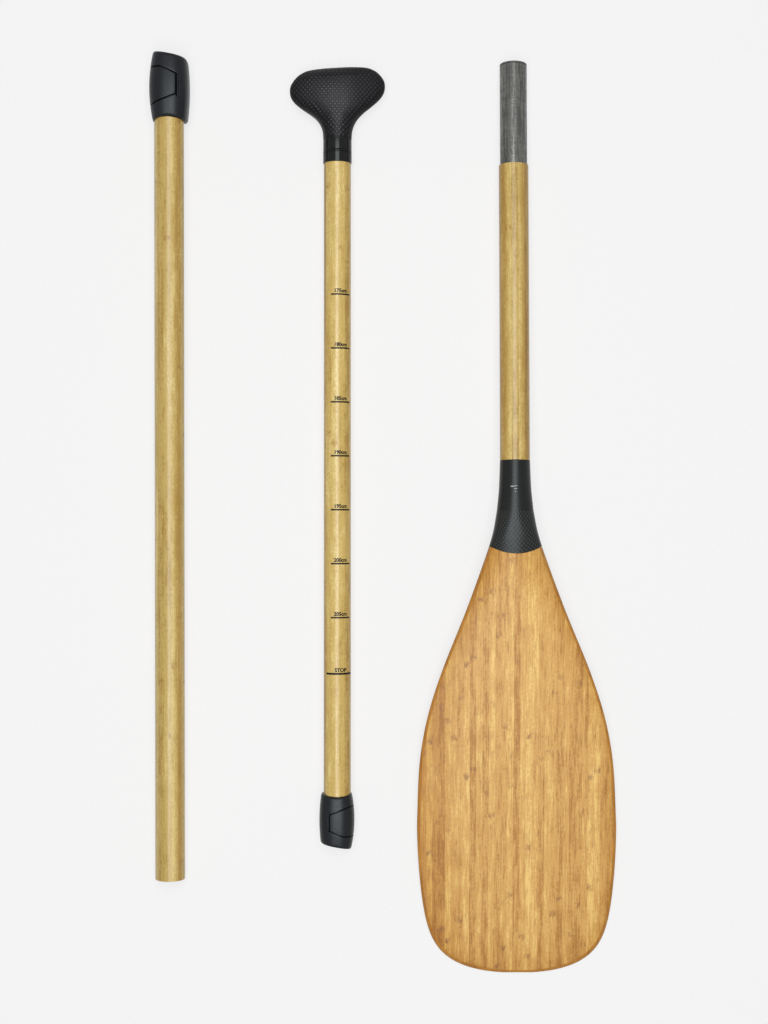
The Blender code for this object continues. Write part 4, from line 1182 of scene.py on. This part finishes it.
def grip_studs(name, grip, side):
    """Lozenge studs in a diagonal lattice, dropped on to one face of the grip and smaller towards its rim."""
    recipe = Recipe(name)
    pitch, field, radius, height, facing, lowest, highest = recipe.sizes(
        Pitch=STUD_PITCH, Field=STUD_FIELD, Stud_Radius=STUD_RADIUS, Stud_Height=STUD_HEIGHT, Side=side,
        Lowest=STUD_ROWS[0], Highest=STUD_ROWS[1])
    count = field / pitch
    grid = {"Size X": field, "Size Y": field, "Vertices X": count, "Vertices Y": count}
    lattice = recipe.node("GeometryNodeMeshGrid", grid)
    lattice = recipe.node("GeometryNodeTransform", {0: lattice, "Rotation": (0, 0, math.pi / 4)})
    above = recipe.join(0.0, GRIP_HEIGHT / 2, facing * STUD_DROP_FROM)
    lattice = recipe.node("GeometryNodeTransform", {0: lattice, "Translation": above, "Scale": STUD_STRETCH})
    down = recipe.join(0.0, 0.0, facing * -1.0)
    ray = {"Target Geometry": recipe.skin, "Ray Direction": down, "Ray Length": 2 * STUD_DROP_FROM}
    hit = recipe.node("GeometryNodeRaycast", ray, "Is Hit")
    landing, normal = hit.beside("Hit Position"), hit.beside("Hit Normal")
    level = recipe.split(landing)[1]
    faces_out = recipe.split(normal)[2] * facing > STUD_FACING[0]
    kept = (level > lowest) * (level < highest) * faces_out * hit
    facings = {"Geometry": lattice, "Name": "outward", "Value": normal}
    stored = recipe.node("GeometryNodeStoreNamedAttribute", facings, data_type="FLOAT_VECTOR")
    dropped = recipe.node("GeometryNodeDeleteGeometry", {"Geometry": stored, "Selection": kept < 0.5})
    landed = recipe.node("GeometryNodeSetPosition", {"Geometry": dropped, "Position": landing})
    outward = recipe.node("GeometryNodeInputNamedAttribute", {"Name": "outward"}, data_type="FLOAT_VECTOR")
    upright = recipe.node("FunctionNodeAlignRotationToVector", {"Vector": outward}, axis="Z")
    tilt = recipe.split(outward)[2] * facing
    share = recipe.node("ShaderNodeMapRange", {0: tilt, 1: STUD_FACING[0], 2: STUD_FACING[1], 3: STUD_SMALLEST, 4: 1.0})
    cone = {"Vertices": 4, "Radius Top": radius * STUD_TOP_SHARE, "Radius Bottom": radius, "Depth": height}
    lozenges = {"Points": landed, "Instance": recipe.node("GeometryNodeMeshCone", cone), "Rotation": upright,
                "Scale": share}
    studs = recipe.node("GeometryNodeInstanceOnPoints", lozenges)
    recipe.run(studs, "stud", "grip_rubber", grip)


def make_grip():
    joined_at = GRIP_BODY[-1][0]
    heights = steps(0, joined_at, 88)
    heights += [joined_at + (1 - joined_at) * (1 - (1 - share) ** 2) for share in steps(0, 1, 24)[1:]]
    rings = [[grip_point(height, 2 * math.pi * i / 128) for i in range(128)] for height in heights]
    grip = add_piece("t_grip", loft(rings), "grip")
    combine(grip, loft([circle(CORE_BORE, y) for y in GRIP_BORE_ENDS]))
    grip_studs("grip_studs_front", grip, 1.0)
    grip_studs("grip_studs_back", grip, -1.0)
    settle(grip, PLACES["handle"])
    fit(grip, "handle_section", "grip_rubber", "handle_grip")

    sunk, outer = GRIP_NECK_RADIUS - RING_SUNK, GRIP_NECK_RADIUS + RING_PROUD
    profile = [(0.0, sunk), (0.0, outer - RING_BEVEL), (RING_BEVEL, outer)]
    profile += [(RING_LENGTH - RING_EASE * (1 - math.cos(a)), outer - RING_PROUD * 2 * (1 - math.sin(a)))
                for a in steps(math.pi / 2, 0, 6)]
    put("grip_ring", turned(profile + [(RING_LENGTH, sunk)]), "handle", "collar", "gloss_black")

    outer, inner = INNER_RADIUS + COLLAR_WALL, INNER_RADIUS + GLUE_GAP
    groove = -BUTT_GAP - COLLAR_BEAD
    profile = [(-COLLAR_LENGTH, inner), (-COLLAR_LENGTH, outer - COLLAR_EASE), (-COLLAR_LENGTH + COLLAR_EASE, outer),
               (groove - COLLAR_EASE, outer), (groove - COLLAR_EASE / 2, outer - COLLAR_GROOVE)]
    profile += [(groove + COLLAR_BEAD * (1 - math.cos(a)) / 2, outer - COLLAR_EASE * (1 - math.sin(a)))
                for a in steps(0, math.pi, 8)]
    put("grip_collar", turned(profile + [(-BUTT_GAP, inner)]), "handle", "collar", "gloss_black", "handle_grip_collar")


make_grip()


# Neck and blade

def half_width(below):
    if below <= BLADE_WIDEST:
        return through(NECK_WIDTHS, below)
    share = min((below - BLADE_WIDEST) / (BLADE_LENGTH - BLADE_WIDEST), 1.0)
    return BLADE_HALF_WIDTH * (1 - BLADE_SIDE_TAPER * share**2) * (1 - share**TIP_SQUARENESS) ** TIP_ROUNDING


def half_thickness(across, below):
    centre = through(HALF_THICKNESSES, below)
    blend = smooth_step(below / THIN_EDGE_FROM)
    edge = centre + (EDGE_HALF_THICKNESS - centre) * blend
    roundness = NECK_ROUNDNESS * (BLADE_ROUNDNESS / NECK_ROUNDNESS) ** blend
    share = min(abs(across), 1.0)
    return (edge + (centre - edge) * (1 - share**2)) * math.sqrt(1 - share**roundness)


def blade_centre(below):
    if below <= 0:
        return 0.0
    return -math.tan(BLADE_RAKE) * (math.hypot(below, BLADE_BEND_RADIUS) - BLADE_BEND_RADIUS)


def blade_point(x, level, side, inset=0.0):
    """A point on the blade's skin: rows bow towards the tip around the sleeve's edge."""
    fade = smooth_step(level / SLEEVE_LENGTH) * (1 - smooth_step((level - SLEEVE_LENGTH) / SLEEVE_BOW_FADE))
    below = level + SLEEVE_BOW * fade * (1 - min(abs(x) / half_width(level), 1.0) ** 2)
    thickness = max(half_thickness(x / max(half_width(below), 1e-6), below) - inset, 0.0)
    return Vector((x + math.tan(BLADE_LEAN) * max(below, 0), -below, blade_centre(below) + side * thickness))


def neck_ring(level, inset, segments, wrapped=False):
    """A closed section of the neck, thinned by an inset and stepped where the wrap's tape ends."""
    if wrapped and level > TAPE_EDGE:
        inset += TAPE_THICKNESS
    reach = half_width(level) - inset
    turns = [2 * math.pi * (i + 0.5) / segments for i in range(segments)]
    return [blade_point(reach * math.cos(turn), level, math.copysign(1, math.sin(turn)), inset) for turn in turns]


def neck_shell(levels, segments, wrapped=False):
    outer = [neck_ring(level, 0.0, segments, wrapped) for level in levels]
    inner = [neck_ring(level, SKIN_THICKNESS, segments) for level in reversed(levels)]
    both = levels + levels[::-1]
    girth = 2 * math.pi * half_width(levels[len(levels) // 2])
    return loft(outer + inner, True, lambda column, row: (column / segments * girth, -both[row]))


def make_neck():
    wrap = neck_shell(steps(-WRAP_LENGTH, -GLUE_GAP, 160), 200, True)
    put("neck_wrap_skin", wrap, "blade", "wrap", "gloss_black", "neck_wrap")
    sleeve = neck_shell(steps(0.0, SLEEVE_LENGTH, 34), 120)
    put("neck_sleeve_skin", sleeve, "blade", "sleeve", "woven_sleeve", "neck_sleeve")
    puckers = bmesh.new()
    for x, level, wide, long, height in PUCKERS:
        centre = blade_point(x, level, 1)
        for vert in bmesh.ops.create_uvsphere(puckers, u_segments=28, v_segments=14, radius=1)["verts"]:
            deep = height if vert.co.z > 0 else PUCKER_FOOT
            vert.co = centre + Vector((vert.co.x * wide, vert.co.y * long, vert.co.z * deep))
    put("tape_puckers", puckers, "blade", "pucker", "gloss_black")

    face, plug = SHAFT_ABOVE_NECK - CAP_THICKNESS, CORE_BORE - CAP_PLUG_GAP
    profile = [(face - CAP_PLUG_LENGTH, plug), (face, plug), (face, INNER_RADIUS),
               (SHAFT_ABOVE_NECK - CAP_EASE, INNER_RADIUS), (SHAFT_ABOVE_NECK, INNER_RADIUS - CAP_EASE)]
    put("ferrule_end", turned(profile, False), "blade", "plug", "fibre", "ferrule_cap")


def inner_half_width(level, shrink):
    """Half width of the blade's outline taken in alike at its sides and its tip."""
    stretched = level
    if level > BLADE_WIDEST:
        share = (level - BLADE_WIDEST) / (BLADE_LENGTH - shrink - BLADE_WIDEST)
        stretched = BLADE_WIDEST + share * (BLADE_LENGTH - BLADE_WIDEST)
    return max(half_width(stretched) - shrink, TIP_LEAST_HALF_WIDTH)


def blade_levels(shrink):
    """Levels from the sleeve to the tip of an outline that is taken in, crowded towards the tip."""
    span = (BLADE_LENGTH - shrink - BLADE_WIDEST) * TIP_END_SHARE
    tip = [BLADE_WIDEST + span * (1 - (1 - share) ** TIP_CROWDING) for share in steps(0, 1, 40)[1:]]
    return steps(SLEEVE_LENGTH + BUTT_GAP, BLADE_WIDEST, 60) + tip


def make_face(name, side, look, node):
    """One bamboo face, a closed sheet as thick as the veneer."""
    shrink = EDGE_BAND_WIDTH + GLUE_GAP
    levels = blade_levels(shrink)
    across = [math.cos(turn) for turn in steps(0, math.pi, 64)]
    grids = [[[blade_point(share * inner_half_width(level, shrink), level, side, inset) for share in across]
              for level in levels] for inset in (0.0, SKIN_THICKNESS)]
    put(name, sheet(*grids, lambda column, row: (across[column], levels[row])), "blade", look, "blade_bamboo", node)


def make_rim():
    """The edge band round both sides and the tip, its outer edge rounded."""
    places = [(outer, inner, 1) for outer, inner in zip(blade_levels(0.0), blade_levels(EDGE_BAND_WIDTH))]
    places += [(outer, inner, -1) for outer, inner, _ in reversed(places)]
    rings = []
    for outer, inner, hand in places:
        tip_share = smooth_step((outer - BLADE_WIDEST) / (BLADE_LENGTH - BLADE_WIDEST))
        reach, inner_x = half_width(outer), hand * inner_half_width(inner, EDGE_BAND_WIDTH)
        ring = [blade_point(inner_x, inner, 1)]
        for turn in steps(0, math.pi, 8):
            back_off = EDGE_HALF_THICKNESS / 2 * (1 - math.sin(turn))
            top, bottom = (blade_point(hand * (reach - back_off), outer - back_off * tip_share, side)
                           for side in (1, -1))
            ring.append(bottom.lerp(top, (1 + math.cos(turn)) / 2))
        ring.append(blade_point(inner_x, inner, -1))
        rings.append(ring)
    put("blade_rim", loft(rings), "blade", "rim", "edge_band", "blade_edge_band")


make_neck()
make_face("blade_front", 1, "front_bamboo", "blade_front_veneer")
make_face("blade_back", -1, "back_bamboo", "blade_back_veneer")
make_rim()
paint("blade_core", "rim")
paint("handle_grip_plug", "plug")
paint("handle_end_plug", "plug")


# Camera, floor and light

def seen_share(graph, amount):
    """An amount on the rays that show the background: straight, mirrored or through glass."""
    ray = graph.node("ShaderNodeLightPath", output="Is Camera Ray")
    return ray.or_more(ray.beside("Is Glossy Ray")).or_more(ray.beside("Is Transmission Ray")) * amount


def make_stage():
    mesh = bpy.data.meshes.new("ground")
    half = GROUND_SIZE / 2
    mesh.from_pydata([(-half, -half, 0), (half, -half, 0), (half, half, 0), (-half, half, 0)], [], [(0, 1, 2, 3)])
    ground = link("ground", mesh)
    ground.location.z = -GROUND_DROP
    look = bpy.data.materials.new("ground_paper")
    look.use_nodes = True
    look.node_tree.nodes.clear()
    graph = Graph(look.node_tree)
    plain = graph.node("ShaderNodeBsdfDiffuse", {"Color": (GROUND_DIFFUSE,) * 3})
    even = graph.node("ShaderNodeEmission", {"Color": (GROUND_SEEN,) * 3})
    share = seen_share(graph, 1 - SHADOW_SHARE)
    graph.end("ShaderNodeOutputMaterial", graph.node("ShaderNodeMixShader", {0: share, 1: plain, 2: even}))
    mesh.materials.append(look)


def make_light():
    world = bpy.data.worlds.new("studio")
    world.use_nodes = True
    graph = Graph(world.node_tree)
    background = world.node_tree.nodes["Background"].inputs
    graph.plug(background["Color"], (1, 1, 1))
    graph.plug(background["Strength"], seen_share(graph, WORLD_SEEN - WORLD_FILL) + WORLD_FILL)
    bpy.context.scene.world = world

    lamp = bpy.data.lights.new("softbox", "AREA")
    lamp.shape = "RECTANGLE"
    lamp.size, lamp.size_y = LAMP_SIZE
    lamp.energy = LAMP_RADIANCE * math.pi * LAMP_SIZE[0] * LAMP_SIZE[1]
    link("softbox", lamp).location = (LAMP_X, CAMERA_Y, LAMP_HEIGHT)
    bpy.context.scene.view_settings.view_transform = "Standard"


def make_camera():
    data = bpy.data.cameras.new("camera")
    data.lens = CAMERA_LENS
    camera = link("camera", data)
    camera.location = (CAMERA_X, CAMERA_Y, CAMERA_HEIGHT)
    bpy.context.scene.camera = camera


make_stage()
make_light()
make_camera()
